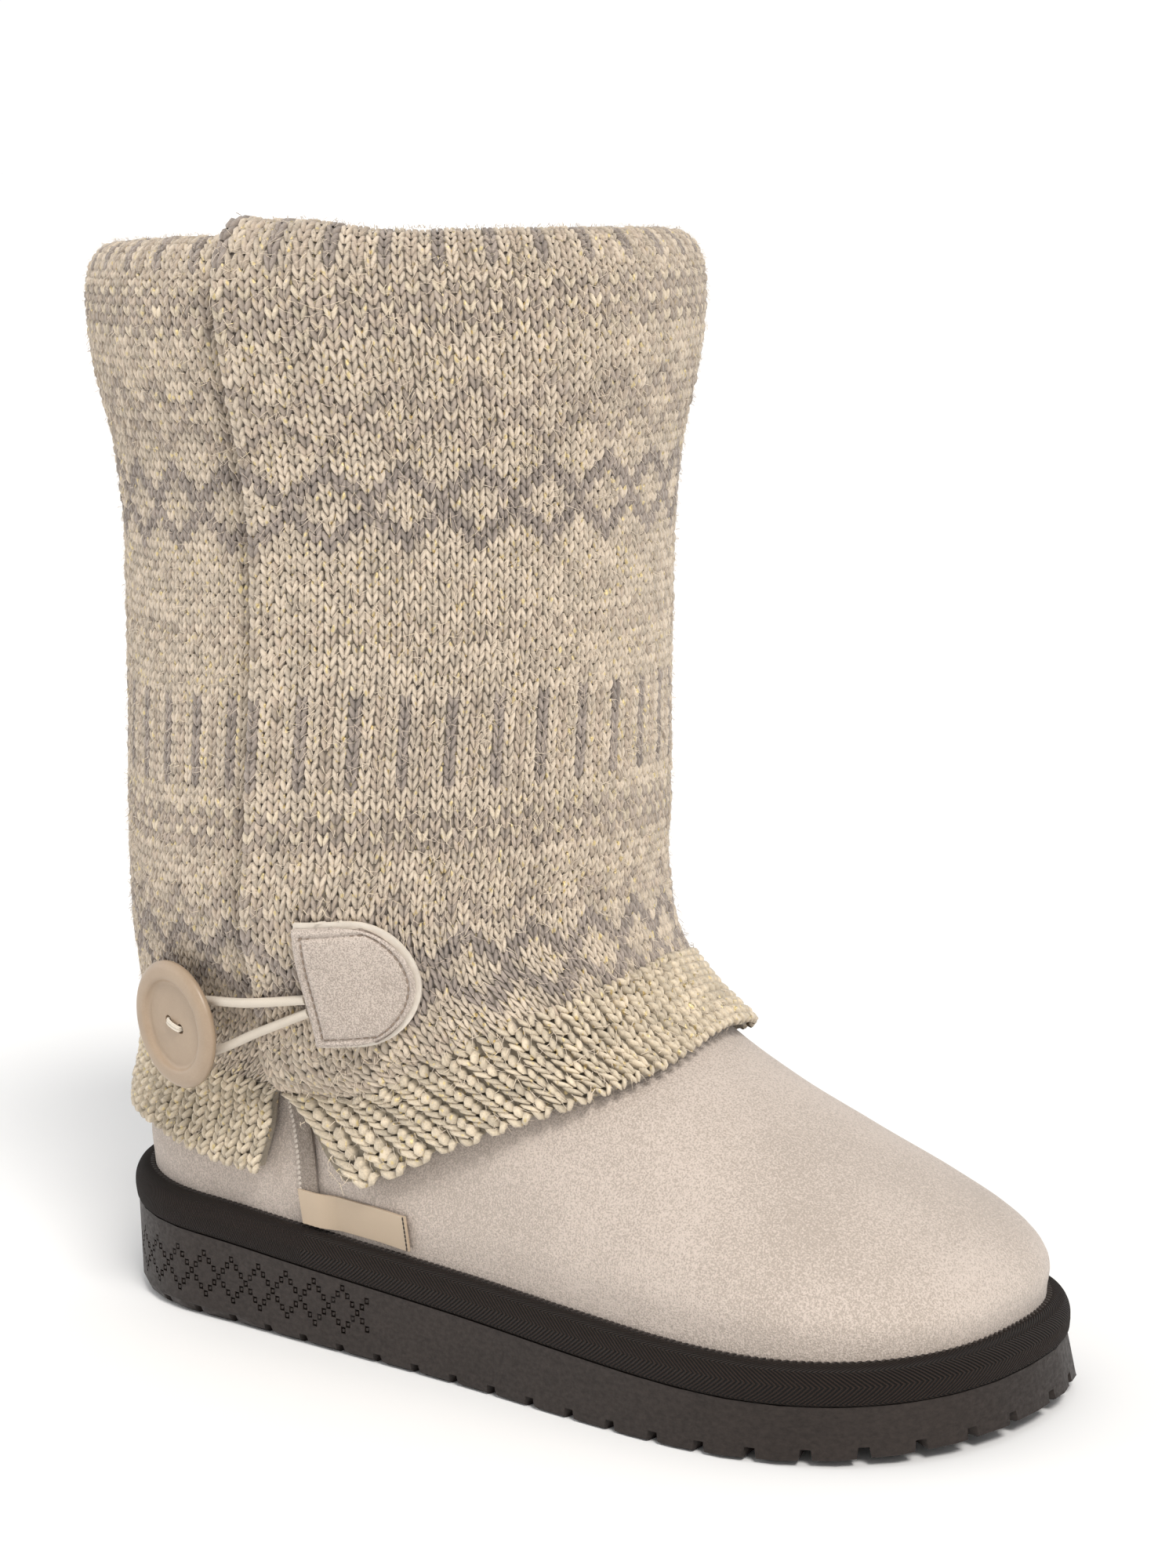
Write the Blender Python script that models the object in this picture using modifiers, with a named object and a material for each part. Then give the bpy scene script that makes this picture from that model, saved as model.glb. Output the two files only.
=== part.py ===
"""Right-foot mukluk boot: hollow suede upper on a lugged platform sole, with a folded knit cuff and a button.

Metres, +Z up, +X towards the toe, +Y towards the inner side. The origin is on the ground under the heel.
"""

import math

import bmesh
import bpy
from mathutils import Vector

# Outsole
SOLE_LENGTH = 0.270
BALL_WIDTH = 0.105
HEEL_BACK = 0.0351
HEEL_THICK = 0.0248
TOE_THICK = 0.0110
TOE_SPRING = 0.0035
SPRING_START = 0.70
TOE_FLARE = 0.0020
HEEL_EDGE_ROUND = 0.0028
TOE_EDGE_ROUND = 0.0008
HEEL_ROUND = 0.045
TOE_ROUND = 0.060
TOE_SQUARE = 2.4

# Tread
LUG_PITCH = 0.01325
NOTCH_DEEP = 0.0028
NOTCH_WIDE = 0.0045
NOTCH_NARROW = 0.0026
NOTCH_REACH = 0.011
NOTCH_PROUD = 0.004
GROOVE_DEEP = 0.0020
GROOVE_WIDE = 0.0036
GROOVE_NARROW = 0.6
GROOVE_PITCH = 1.5
HEEL_GROOVES = (0.055, 0.26)
FOREFOOT_GROOVES = (0.52, 0.90)
ARCH_SPAN = (0.30, 0.49)
ARCH_DEEP = 0.0022
ARCH_EDGE = 0.016

# Platform binding and insole
BINDING_HIGH = 0.0095
BINDING_BULGE = 0.0007
BINDING_WIDE = 0.0046
INSOLE_THICK = 0.0040
INSOLE_EDGE = 0.0012

# Upper
UPPER_WALL = 0.0028
INSTEP_HEIGHT = 0.118
COLLAR_HEIGHT = 0.2760
COLLAR_DIP = 0.0090
DIP_PLACE = 0.83
SHAFT_DEPTH = 0.137
SHAFT_WIDTH = 0.116
SEAM_PLACE = 0.308
SEAM_UPRIGHT = 4.0

# Seam strips
STRIP_WIDE = 0.0055
STRIP_THICK = 0.0009
STRIP_TOP = 0.092

# Knit cuff
KNIT_THICK = 0.0034
TURN_DEEP = 0.034
FOLD_RISE = 0.8
LAP_CLEAR = 0.0005
LAP_START = 0.020
LAP_FADE = 0.060
HEM_LOW = 0.163
TURN_SHARE = 0.16
FOLD_SHARE = 0.32
CUFF_COLUMNS = 44
CUFF_ROWS = 18

# Tab
TAB_HIGH = 0.0315
TAB_LONG = 0.0272
TAB_STRAIGHT = 0.36
TAB_UPRIGHT = 0.96
TAB_THICK = 0.0012
TAB_PLACE = 0.2830
TAB_LEAN = 0.007
TAB_HEIGHT = 0.1030
TAB_SEAT = 0.0008
BACKING_THICK = 0.0009
BACKING_EDGE = 0.0010

# Button, its thread and the elastic
ELASTIC_WIDE = 0.0024
BUTTON_WIDE = 0.0330
BUTTON_THICK = 0.0042
BUTTON_RIM = 0.0052
BUTTON_HOLE = 0.0026
BUTTON_HOLE_APART = 0.0052
BUTTON_CLEAR = 0.0010
BUTTON_STAND = TAB_SEAT + ELASTIC_WIDE + BUTTON_CLEAR
BUTTON_PLACE = 0.190
BUTTON_HEIGHT = 0.088
BUTTON_TILT = math.radians(3)
HOLE_TURN = math.radians(-18)
THREAD_WIDE = 0.0014
THREAD_CORNER = 0.6
THREAD_BEND = 0.4
THREAD_DROP = 0.35
LOOP_APART = 0.0036
LOOP_RISE = -0.0045
LOOP_EYE = 0.0066
LOOP_REACH = 1.3
LOOP_NARROW = 0.75
LOOP_CROSSING = 0.45
SLIT_MARGIN = 0.006

# Side label
LABEL_LONG = 0.0280
LABEL_HIGH = 0.0092
LABEL_THICK = 0.0009

# Clearance between touching pieces
GAP = 0.0003

# Columns and rows of the lofts
REAR_STEPS = 11
FRONT_STEPS = 16
UPPER_RINGS = 15
OUTLINE_SAMPLES = 240

# Side wall of the outsole from the ground up. Heel inset is a share of the heel's edge round, toe flare one
# of the toe's flare, top is the share of the way to the upper face and rise a share of the edge round
WALL_SECTIONS = (
    # heel inset, toe flare, top, rise
    (1.0, 0.6, 0.0, 0.0),
    (0.3, 1.0, 0.0, 0.5),
    (0.0, 0.9, 0.0, 1.2),
    (0.0, 0.0, 1.0, 0.0),
)

# Section of the binding round from its lower inner corner. Inset, bulge and height are shares of its width,
# its bulge and its height
BINDING_SECTIONS = (
    # inset, bulge, height
    (1.00, 0.0, 0.00),
    (0.05, 0.0, 0.00),
    (0.00, 0.9, 0.24),
    (0.00, 0.9, 0.58),
    (0.07, 0.0, 0.84),
    (0.36, 0.0, 0.98),
    (0.80, 0.0, 1.00),
    (1.00, 0.0, 0.90),
)

# Turned profile of the button from the dish's edge over the rim to the back. Inset is a share of the rim's
# width, height a share of the thickness
BUTTON_SECTIONS = (
    # inset, height
    (1.12, 0.667),
    (1.00, 0.760),
    (0.87, 0.930),
    (0.69, 1.000),
    (0.31, 0.950),
    (0.08, 0.780),
    (0.00, 0.550),
    (0.12, 0.280),
    (0.58, 0.000),
)

# Share of the sole's length; centre line and half width as shares of the ball width
SOLE_SECTIONS = (
    # along, centre, half
    (0.00, 0.028, 0.343),
    (0.09, 0.012, 0.343),
    (0.18, 0.003, 0.341),
    (0.30, -0.017, 0.350),
    (0.41, -0.024, 0.366),
    (0.52, -0.012, 0.403),
    (0.63, 0.007, 0.458),
    (0.74, 0.018, 0.497),
    (0.82, 0.021, 0.503),
    (0.91, 0.031, 0.503),
    (1.00, 0.046, 0.503),
)

# Foot sections above the binding. Back and front are shares of the sole's length, their heights shares of
# the rise from the sole to the instep, half widths shares of half the ball width; round blends from the
# sole's outline, 0, to an oval, 1
FOOT_SECTIONS = (
    # back, back height, front, front height, outer, inner, round
    (0.0175, 0.206, 0.984, 0.172, 0.900, 0.970, 0.03),
    (0.0235, 0.313, 0.962, 0.252, 0.875, 0.940, 0.12),
    (0.0330, 0.410, 0.914, 0.340, 0.830, 0.890, 0.28),
    (0.0385, 0.496, 0.842, 0.432, 0.790, 0.840, 0.50),
    (0.0405, 0.587, 0.765, 0.530, 0.785, 0.815, 0.72),
    (0.0440, 0.700, 0.682, 0.655, 0.825, 0.830, 0.90),
    (0.0500, 0.828, 0.614, 0.812, 0.905, 0.900, 1.00),
)

# Shaft sections. Height is a share of the way from instep to collar, centre a share of the sole's length,
# depth and width shares of the shaft's
SHAFT_SECTIONS = (
    # height, centre, depth, width
    (0.00, 0.3250, 1.015, 0.940),
    (0.14, 0.3300, 1.005, 0.970),
    (0.40, 0.3387, 0.990, 0.975),
    (0.70, 0.3477, 0.985, 0.975),
    (1.00, 0.3517, 1.085, 1.080),
)

# The cuff below its fold. Drop is a share of the shaft's height, stand the further gap to the upper, past
# what the seam strips need, as a share of the knit's thickness
CUFF_SECTIONS = (
    # drop, stand
    (0.000, 0.41),
    (0.045, 1.11),
    (0.120, 1.31),
    (0.200, 0.86),
    (0.320, 0.36),
    (0.480, 0.06),
    (1.000, 0.06),
)

# Hem of the cuff. Around is a share of the way round from the heel, height a share of the collar's height
HEM_SECTIONS = (
    # around, height
    (0.000, 0.190),
    (0.110, 0.183),
    (0.160, 0.169),
    (0.200, 0.163),
    (0.270, 0.167),
    (0.312, 0.213),
    (0.363, 0.255),
    (0.440, 0.286),
    (0.500, 0.302),
    (0.550, 0.297),
    (0.620, 0.272),
    (0.700, 0.238),
    (0.800, 0.208),
    (1.000, 0.190),
)

# Edges of the two panels down the outer side. Height is a share of the collar's, front and rear are the
# places around the boot of the front panel's rear edge and of the rear panel's front edge
SLIT_SECTIONS = (
    # height, front, rear
    (0.165, 0.2690, 0.2200),
    (0.185, 0.2620, 0.2270),
    (0.215, 0.2570, 0.2370),
    (0.240, 0.2500, 0.2430),
    (0.262, 0.2430, 0.2530),
    (0.300, 0.2350, 0.2640),
    (0.380, 0.2480, 0.2800),
    (0.460, 0.2590, 0.2910),
    (0.550, 0.2630, 0.2950),
    (0.700, 0.2685, 0.3005),
    (0.850, 0.2660, 0.2980),
    (1.000, 0.2590, 0.2910),
)


def clear_scene():
    for obj in list(bpy.data.objects):
        bpy.data.objects.remove(obj, do_unlink=True)


def collection(name):
    group = bpy.data.collections.new(name)
    bpy.context.scene.collection.children.link(group)
    return group


def material(name, colour, roughness, metallic=0.0):
    made = bpy.data.materials.new(name)
    made.use_nodes = True
    shader = made.node_tree.nodes["Principled BSDF"]
    shader.inputs["Base Color"].default_value = (*colour, 1.0)
    shader.inputs["Roughness"].default_value = roughness
    shader.inputs["Metallic"].default_value = metallic
    return made


def smooth(rows, column, place):
    """Value of a table's column at a place of its first column, on a smooth curve through the rows."""
    places = [row[0] for row in rows]
    values = [row[column] for row in rows]
    last = len(rows) - 1
    if place <= places[0]:
        return values[0]
    if place >= places[last]:
        return values[last]
    low = max(index for index in range(last) if places[index] <= place)
    span = places[low + 1] - places[low]
    share = (place - places[low]) / span

    def slope(index):
        before = max(index - 1, 0)
        after = min(index + 1, last)
        return (values[after] - values[before]) / (places[after] - places[before])

    start = slope(low) * span
    end = slope(low + 1) * span
    square = share * share
    cube = square * share
    return (
        (2 * cube - 3 * square + 1) * values[low]
        + (cube - 2 * square + share) * start
        + (3 * square - 2 * cube) * values[low + 1]
        + (cube - square) * end
    )


def mix(first, second, share):
    return first + (second - first) * share


def ease(share):
    share = min(max(share, 0.0), 1.0)
    return share * share * (3 - 2 * share)


def sole_half_width(along):
    """Half width of the sole, rounded off at the heel and at the toe."""
    half = smooth(SOLE_SECTIONS, 2, along / SOLE_LENGTH) * BALL_WIDTH
    if along < HEEL_ROUND:
        left = 1 - along / HEEL_ROUND
        half *= math.sqrt(max(1 - left * left, 0.0))
    if along > SOLE_LENGTH - TOE_ROUND:
        left = 1 - (SOLE_LENGTH - along) / TOE_ROUND
        half *= max(1 - left ** TOE_SQUARE, 0.0) ** (1 / TOE_SQUARE)
    return half


def sole_side(sign):
    """One side of the sole's outline from heel to toe, as points and their distances along it."""
    points = []
    for step in range(OUTLINE_SAMPLES + 1):
        along = SOLE_LENGTH * (1 - math.cos(math.pi * step / OUTLINE_SAMPLES)) / 2
        centre = smooth(SOLE_SECTIONS, 1, along / SOLE_LENGTH) * BALL_WIDTH
        points.append((along, centre + sign * sole_half_width(along)))
    distances = [0.0]
    for first, second in zip(points, points[1:]):
        distances.append(distances[-1] + math.dist(first, second))
    return points, distances


OUTER_SIDE = sole_side(-1)
INNER_SIDE = sole_side(1)


def along_side(side, distance):
    """The point and the direction of one side of the outline, a distance from the heel."""
    points, distances = side
    distance = min(max(distance, 0.0), distances[-1])
    index = max(i for i in range(OUTLINE_SAMPLES) if distances[i] <= distance)
    share = (distance - distances[index]) / (distances[index + 1] - distances[index])
    first = points[index]
    second = points[index + 1]
    place = Vector((mix(first[0], second[0], share), mix(first[1], second[1], share)))
    before = points[max(index - 1, 0)]
    after = points[min(index + 2, OUTLINE_SAMPLES)]
    tangent = Vector((after[0] - before[0], after[1] - before[1])).normalized()
    return place, tangent


def seam_distance(side):
    points, distances = side
    for point, distance in zip(points, distances):
        if point[0] >= SEAM_PLACE * SOLE_LENGTH:
            return distance
    return distances[-1] / 2


SEAM_DISTANCES = {-1: seam_distance(OUTER_SIDE), 1: seam_distance(INNER_SIDE)}


def outline(around, inset=0.0):
    """Point of the sole's outline, around from the heel 0 past the outer side 0.25 to the toe 0.5 and back."""
    around %= 1.0
    sign = -1 if around <= 0.5 else 1
    side = OUTER_SIDE if sign < 0 else INNER_SIDE
    reach = around if sign < 0 else 1 - around
    seam = SEAM_DISTANCES[sign]
    if reach <= 0.25:
        distance = seam * reach / 0.25
    else:
        distance = mix(seam, side[1][-1], (reach - 0.25) / 0.25)
    place, tangent = along_side(side, distance)
    if around in (0.0, 0.5):
        outward = Vector((-1 if around == 0.0 else 1, 0))
    else:
        outward = Vector((tangent[1], -tangent[0])) * -sign
    return place - outward * inset


def toe_spring(along):
    past = along / SOLE_LENGTH - SPRING_START
    return TOE_SPRING * (max(past, 0.0) / (1 - SPRING_START)) ** 2


def sole_top(along):
    """Height of the outsole's upper face."""
    return mix(HEEL_THICK, TOE_THICK, along / SOLE_LENGTH) + toe_spring(along)


def columns():
    """Places around the boot where the lofts have their columns, with one at each edge of a seam strip."""
    rear = [0.25 * step / REAR_STEPS for step in range(REAR_STEPS)]
    front = [0.25 + 0.25 * step / FRONT_STEPS for step in range(1, FRONT_STEPS)]
    half = rear + [0.25] + front
    return half + [0.5] + [1 - place for place in reversed(half[1:])]


def mesh_object(name, bm, group, finish, smooth_angle=math.radians(40)):
    mesh = bpy.data.meshes.new(name)
    bm.to_mesh(mesh)
    bm.free()
    obj = bpy.data.objects.new(name, mesh)
    obj.data.materials.append(finish)
    group.objects.link(obj)
    mesh.shade_smooth()
    mesh.set_sharp_from_angle(angle=smooth_angle)
    return obj


def ring_loft(rings, closed_section=False):
    """Faces between rings of points that run round the boot, each ring closed on itself."""
    bm = bmesh.new()
    verts = [[bm.verts.new(point) for point in ring] for ring in rings]
    count = len(rings[0])
    pairs = list(zip(verts, verts[1:]))
    if closed_section:
        pairs.append((verts[-1], verts[0]))
    for low, high in pairs:
        for index in range(count):
            after = (index + 1) % count
            bm.faces.new((low[index], low[after], high[after], high[index]))
    return bm, verts


def cross_cap(bm, ring, flip):
    """Closes a ring with strips that run from its outer side across to its inner side."""
    count = len(ring)
    half = count // 2
    for step in range(half):
        near = ring[step]
        near_next = ring[step + 1]
        far_next = ring[(count - step - 1) % count]
        far = ring[(count - step) % count]
        corners = [near, near_next, far_next, far]
        corners = [vert for index, vert in enumerate(corners) if vert not in corners[:index]]
        if flip:
            corners.reverse()
        bm.faces.new(corners)


def face_out(bm):
    bmesh.ops.recalc_face_normals(bm, faces=bm.faces)


def placed(plan, height):
    """A point of the boot from its place in the sole's plan."""
    return Vector((plan[0] - HEEL_BACK, plan[1], height))


def outsole_ring(heel_inset, toe_flare, top, rise):
    ring = []
    for around in columns():
        plain = outline(around)
        share = plain[0] / SOLE_LENGTH
        inset = mix(HEEL_EDGE_ROUND * heel_inset, -TOE_FLARE * toe_flare, ease(share))
        plan = outline(around, inset)
        low = toe_spring(plain[0]) + mix(HEEL_EDGE_ROUND, TOE_EDGE_ROUND, ease(share)) * rise
        height = mix(low, sole_top(plan[0]), top)
        ring.append(placed(plan, height))
    return ring


def outsole_blank(group, finish):
    bm, verts = ring_loft([outsole_ring(*row) for row in WALL_SECTIONS])
    cross_cap(bm, verts[0], flip=True)
    cross_cap(bm, verts[-1], flip=False)
    face_out(bm)
    return mesh_object("outsole", bm, group, finish)


def wedge(bm, centre, direction, length, wide, narrow, low, high):
    """A bar with a trapezoid section, wide below, that points along a direction on the ground."""
    side = Vector((-direction[1], direction[0], 0))
    corners = []
    for end in (-length / 2, length / 2):
        for half, height in ((wide, low), (-wide, low), (-narrow, high), (narrow, high)):
            corners.append(centre + direction * end + side * half / 2 + Vector((0, 0, height)))
    verts = [bm.verts.new(corner) for corner in corners]
    faces = ((0, 1, 2, 3), (7, 6, 5, 4), (0, 4, 5, 1), (1, 5, 6, 2), (2, 6, 7, 3), (3, 7, 4, 0))
    for face in faces:
        bm.faces.new([verts[index] for index in face])


def edge_notches(bm):
    """Notches between the lugs, square to the outline, one pitch apart along each side."""
    for side, sign in ((OUTER_SIDE, -1), (INNER_SIDE, 1)):
        total = side[1][-1]
        count = int((total - LUG_PITCH) / LUG_PITCH)
        start = (total - count * LUG_PITCH) / 2
        for step in range(count + 1):
            place, tangent = along_side(side, start + step * LUG_PITCH)
            inward = Vector((tangent[1], -tangent[0], 0)) * sign
            middle = (NOTCH_REACH - NOTCH_PROUD) / 2
            centre = placed(place, toe_spring(place[0])) + inward * middle
            length = NOTCH_REACH + NOTCH_PROUD
            wedge(bm, centre, inward, length, NOTCH_WIDE, NOTCH_NARROW, -NOTCH_DEEP, NOTCH_DEEP)


def tread_grooves(bm):
    """Cross grooves under the heel and the forefoot, which stop short of the edge lugs."""
    across = Vector((0, 1, 0))
    for first, last in (HEEL_GROOVES, FOREFOOT_GROOVES):
        span = (last - first) * SOLE_LENGTH
        count = int(span / (LUG_PITCH * GROOVE_PITCH))
        for step in range(count + 1):
            along = first * SOLE_LENGTH + (step + 0.5) * span / (count + 1)
            centre_line = smooth(SOLE_SECTIONS, 1, along / SOLE_LENGTH) * BALL_WIDTH
            length = 2 * (sole_half_width(along) - NOTCH_REACH) - LUG_PITCH / 2
            if length < LUG_PITCH:
                continue
            centre = placed((along, centre_line), toe_spring(along))
            narrow = GROOVE_WIDE * GROOVE_NARROW
            wedge(bm, centre, across, length, GROOVE_WIDE, narrow, -GROOVE_DEEP, GROOVE_DEEP)


def arch_hollow(bm):
    """Shallow waist between heel and forefoot, wider below."""
    first = ARCH_SPAN[0] * SOLE_LENGTH
    last = ARCH_SPAN[1] * SOLE_LENGTH
    middle = (first + last) / 2
    centre_line = smooth(SOLE_SECTIONS, 1, middle / SOLE_LENGTH) * BALL_WIDTH
    wide = 2 * (sole_half_width(middle) - ARCH_EDGE)
    centre = placed((middle, centre_line), 0.0)
    along = Vector((1, 0, 0))
    wedge(bm, centre, along, last - first, wide, wide - ARCH_DEEP * 2, -ARCH_DEEP, ARCH_DEEP)


def outsole(group, cutters):
    """Rubber unit with toe spring, flared toe, lugged edge, cross grooves and a hollow waist."""
    rubber = material("outsole_rubber", (0.072, 0.060, 0.055), 0.55)
    body = outsole_blank(group, rubber)
    bm = bmesh.new()
    edge_notches(bm)
    tread_grooves(bm)
    arch_hollow(bm)
    face_out(bm)
    cutter = mesh_object("tread_cutter", bm, cutters, rubber)
    cutter.hide_render = True
    cutter.display_type = "WIRE"
    cut = body.modifiers.new("tread", "BOOLEAN")
    cut.operation = "DIFFERENCE"
    cut.solver = "EXACT"
    cut.object = cutter


def platform_binding(group):
    """Tape-wrapped rim of the platform, a rounded bead between the outsole and the upper."""
    tape = material("binding_tape", (0.028, 0.020, 0.016), 0.85)
    rings = []
    for inset, bulge, height in BINDING_SECTIONS:
        ring = []
        for around in columns():
            plan = outline(around, BINDING_WIDE * inset - BINDING_BULGE * bulge)
            ring.append(placed(plan, sole_top(plan[0]) + mix(GAP, BINDING_HIGH, height)))
        rings.append(ring)
    bm, _ = ring_loft(rings, closed_section=True)
    face_out(bm)
    mesh_object("platform_binding", bm, group, tape)


def insole(group):
    """Footbed on the outsole, inside the upper's wall."""
    fleece = material("insole_fleece", (0.62, 0.56, 0.48), 0.95)
    inset = BINDING_WIDE + GAP + UPPER_WALL + GAP
    section = (
        (inset, GAP),
        (inset, INSOLE_THICK - INSOLE_EDGE + GAP),
        (inset + INSOLE_EDGE, INSOLE_THICK + GAP),
    )
    rings = []
    for reach, height in section:
        ring = []
        for around in columns():
            plan = outline(around, reach)
            ring.append(placed(plan, sole_top(plan[0]) + height))
        rings.append(ring)
    bm, verts = ring_loft(rings)
    cross_cap(bm, verts[0], flip=True)
    cross_cap(bm, verts[-1], flip=False)
    face_out(bm)
    mesh_object("insole", bm, group, fleece)


def upper_sections():
    """Rows of the upper: back, back height, front, front height, outer, inner, round, all but round in metres."""
    inset = BINDING_WIDE + GAP
    half = BALL_WIDTH / 2
    back = outline(0.0, inset)[0]
    front = outline(0.5, inset)[0]
    outer = -min(outline(place / 80, inset)[1] for place in range(41))
    inner = max(outline(0.5 + place / 80, inset)[1] for place in range(41))
    rows = []
    for height in (GAP, BINDING_HIGH):
        rows.append((back, sole_top(back) + height, front, sole_top(front) + height, outer, inner, 0.0))
    for row in FOOT_SECTIONS:
        back_height = mix(HEEL_THICK, INSTEP_HEIGHT, row[1])
        front_height = mix(sole_top(SOLE_LENGTH), INSTEP_HEIGHT, row[3])
        back = row[0] * SOLE_LENGTH
        front = row[2] * SOLE_LENGTH
        rows.append((back, back_height, front, front_height, row[4] * half, row[5] * half, row[6]))
    for row in SHAFT_SECTIONS:
        height = mix(INSTEP_HEIGHT, COLLAR_HEIGHT, row[0])
        centre = row[1] * SOLE_LENGTH
        reach = row[2] * SHAFT_DEPTH / 2
        wide = row[3] * SHAFT_WIDTH / 2
        rows.append((centre - reach, height, centre + reach, height, wide, wide, 1.0))
    return [(float(index), *row) for index, row in enumerate(rows)]


UPPER_ROWS = upper_sections()
TOP_LEVEL = UPPER_ROWS[-1][0]
SHAFT_LEVEL = TOP_LEVEL - len(SHAFT_SECTIONS) + 1


def foot_share(around):
    """Where the sole's outline lies at this place: share from back to front, and sideways share of the half width."""
    inset = BINDING_WIDE + GAP
    plan = outline(around, inset)
    row = UPPER_ROWS[0]
    along = (plan[0] - row[1]) / (row[3] - row[1])
    wide = row[5] if plan[1] < 0 else row[6]
    return along, plan[1] / wide


def oval_turn(around, back, front, level):
    """Angle round an oval section, which keeps the side seams upright over the foot."""
    upright = ease((level - SEAM_UPRIGHT) / (SHAFT_LEVEL - SEAM_UPRIGHT))
    seam = mix(SEAM_PLACE * SOLE_LENGTH, (back + front) / 2, upright)
    seam_turn = math.acos(1 - 2 * (seam - back) / (front - back))
    reach = around % 1.0
    mirrored = reach > 0.5
    reach = 1 - reach if mirrored else reach
    if reach <= 0.25:
        turn = seam_turn * reach / 0.25
    else:
        turn = mix(seam_turn, math.pi, (reach - 0.25) / 0.25)
    return -turn if mirrored else turn


def upper_point(around, level):
    """Point of the upper's outer face. Level counts the sections up from the sole."""
    foot_along, foot_side = foot_share(around)
    back, back_height, front, front_height, outer, inner, rounded = (
        smooth(UPPER_ROWS, column, level) for column in range(1, 8)
    )
    turn = oval_turn(around, back, front, level)
    oval_along = (1 - math.cos(turn)) / 2
    oval_side = -math.sin(turn)
    along = mix(foot_along, oval_along, rounded)
    side = mix(foot_side, oval_side, rounded)
    wide = outer if side < 0 else inner
    plan = (mix(back, front, along), side * wide)
    risen = max(level - SHAFT_LEVEL, 0.0) / (TOP_LEVEL - SHAFT_LEVEL)
    dip = COLLAR_DIP * risen * (1 + math.cos(2 * math.pi * (around - DIP_PLACE))) / 2
    return placed(plan, mix(back_height, front_height, along) - dip)


def upper_normal(around, level):
    step = 0.004
    ahead = upper_point(around + step, level) - upper_point(around - step, level)
    low = max(level - 0.05, 0.0)
    high = min(level + 0.05, TOP_LEVEL)
    up = upper_point(around, high) - upper_point(around, low)
    return ahead.cross(up).normalized()


def off_upper(around, level, stand):
    return upper_point(around, level) + upper_normal(around, level) * stand


def level_at(around, height):
    """The level at which the upper reaches a height, by halving."""
    low = 0.0
    high = TOP_LEVEL
    for _ in range(30):
        middle = (low + high) / 2
        if upper_point(around, middle)[2] < height:
            low = middle
        else:
            high = middle
    return (low + high) / 2


def upper_levels():
    """Levels of the upper's rings: one at the foot and at the binding's top, the rest evenly up to the collar."""
    steps = UPPER_RINGS - 2
    return [0.0] + [1.0 + (TOP_LEVEL - 1.0) * step / steps for step in range(steps + 1)]


def thicken(obj, thickness, offset):
    """Gives a sheet its thickness: offset 1 adds it on the outer face, -1 on the inner."""
    wall = obj.modifiers.new("wall", "SOLIDIFY")
    wall.thickness = thickness
    wall.offset = offset
    wall.use_even_offset = True
    wall.use_quality_normals = True


def upper(group):
    """Hollow foot and shaft, open at the collar and closed below by the sole."""
    suede = material("suede", (0.60, 0.53, 0.47), 0.9)
    rings = [[upper_point(around, level) for around in columns()] for level in upper_levels()]
    bm, _ = ring_loft(rings)
    obj = mesh_object("upper", bm, group, suede)
    thicken(obj, UPPER_WALL, -1.0)


def patch(name, group, finish, across, up, point, flip=False):
    """A sheet over a grid of places, each mapped to the boot by a function of two shares."""
    bm = bmesh.new()
    bmesh.ops.create_grid(bm, x_segments=across, y_segments=up, size=0.5)
    for vert in bm.verts:
        vert.co = point(vert.co[0] + 0.5, vert.co[1] + 0.5)
    if flip:
        bmesh.ops.reverse_faces(bm, faces=bm.faces)
    return mesh_object(name, bm, group, finish)


def around_step(around, level, distance):
    """How far round a distance on the upper reaches."""
    step = 0.002
    length = (upper_point(around + step, level) - upper_point(around - step, level)).length
    return distance * 2 * step / length


def seam_strips(group):
    """Raised strips over the two upright seams, from the binding up under the cuff."""
    suede = material("strip_suede", (0.55, 0.48, 0.42), 0.9)
    for name, around in (("outer_seam_strip", 0.25), ("inner_seam_strip", 0.75)):
        low = level_at(around, upper_point(around, 1.0)[2] + 2 * GAP)
        high = level_at(around, STRIP_TOP)

        def on_strip(across, up, around=around, low=low, high=high):
            level = mix(low, high, up)
            half = around_step(around, level, STRIP_WIDE / 2)
            return off_upper(around + mix(-half, half, across), level, GAP)

        strip = patch(name, group, suede, 3, 8, on_strip)
        thicken(strip, STRIP_THICK, 1.0)


def hem_height(around):
    return smooth(HEM_SECTIONS, 1, around % 1.0) * COLLAR_HEIGHT


def cuff_edges(height):
    """Places around of the front panel's rear edge and, one turn on, of the rear panel's front edge."""
    share = height / COLLAR_HEIGHT
    return smooth(SLIT_SECTIONS, 1, share), 1 + smooth(SLIT_SECTIONS, 2, share)


def lap(around, height):
    """How far the front panel stands off the rear one, which fades out in front of the slit."""
    start, end = cuff_edges(height)
    under = max(end - 1 - start, 0.0)
    there = ease(under / LAP_START)
    return (KNIT_THICK + LAP_CLEAR) * there * (1 - ease((around - start - under) / LAP_FADE))


def cuff_stand(around, height):
    """Gap from the upper to the cuff's inner face."""
    drop = (COLLAR_HEIGHT - height) / (COLLAR_HEIGHT - HEM_LOW * COLLAR_HEIGHT)
    over_strip = GAP + STRIP_THICK + GAP
    return over_strip + smooth(CUFF_SECTIONS, 1, drop) * KNIT_THICK + lap(around, height)


def on_cuff(around, height, stand):
    """Point over the cuff's outer face."""
    reach = cuff_stand(around, height) + KNIT_THICK + stand
    return off_upper(around, level_at(around, height), reach)


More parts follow.
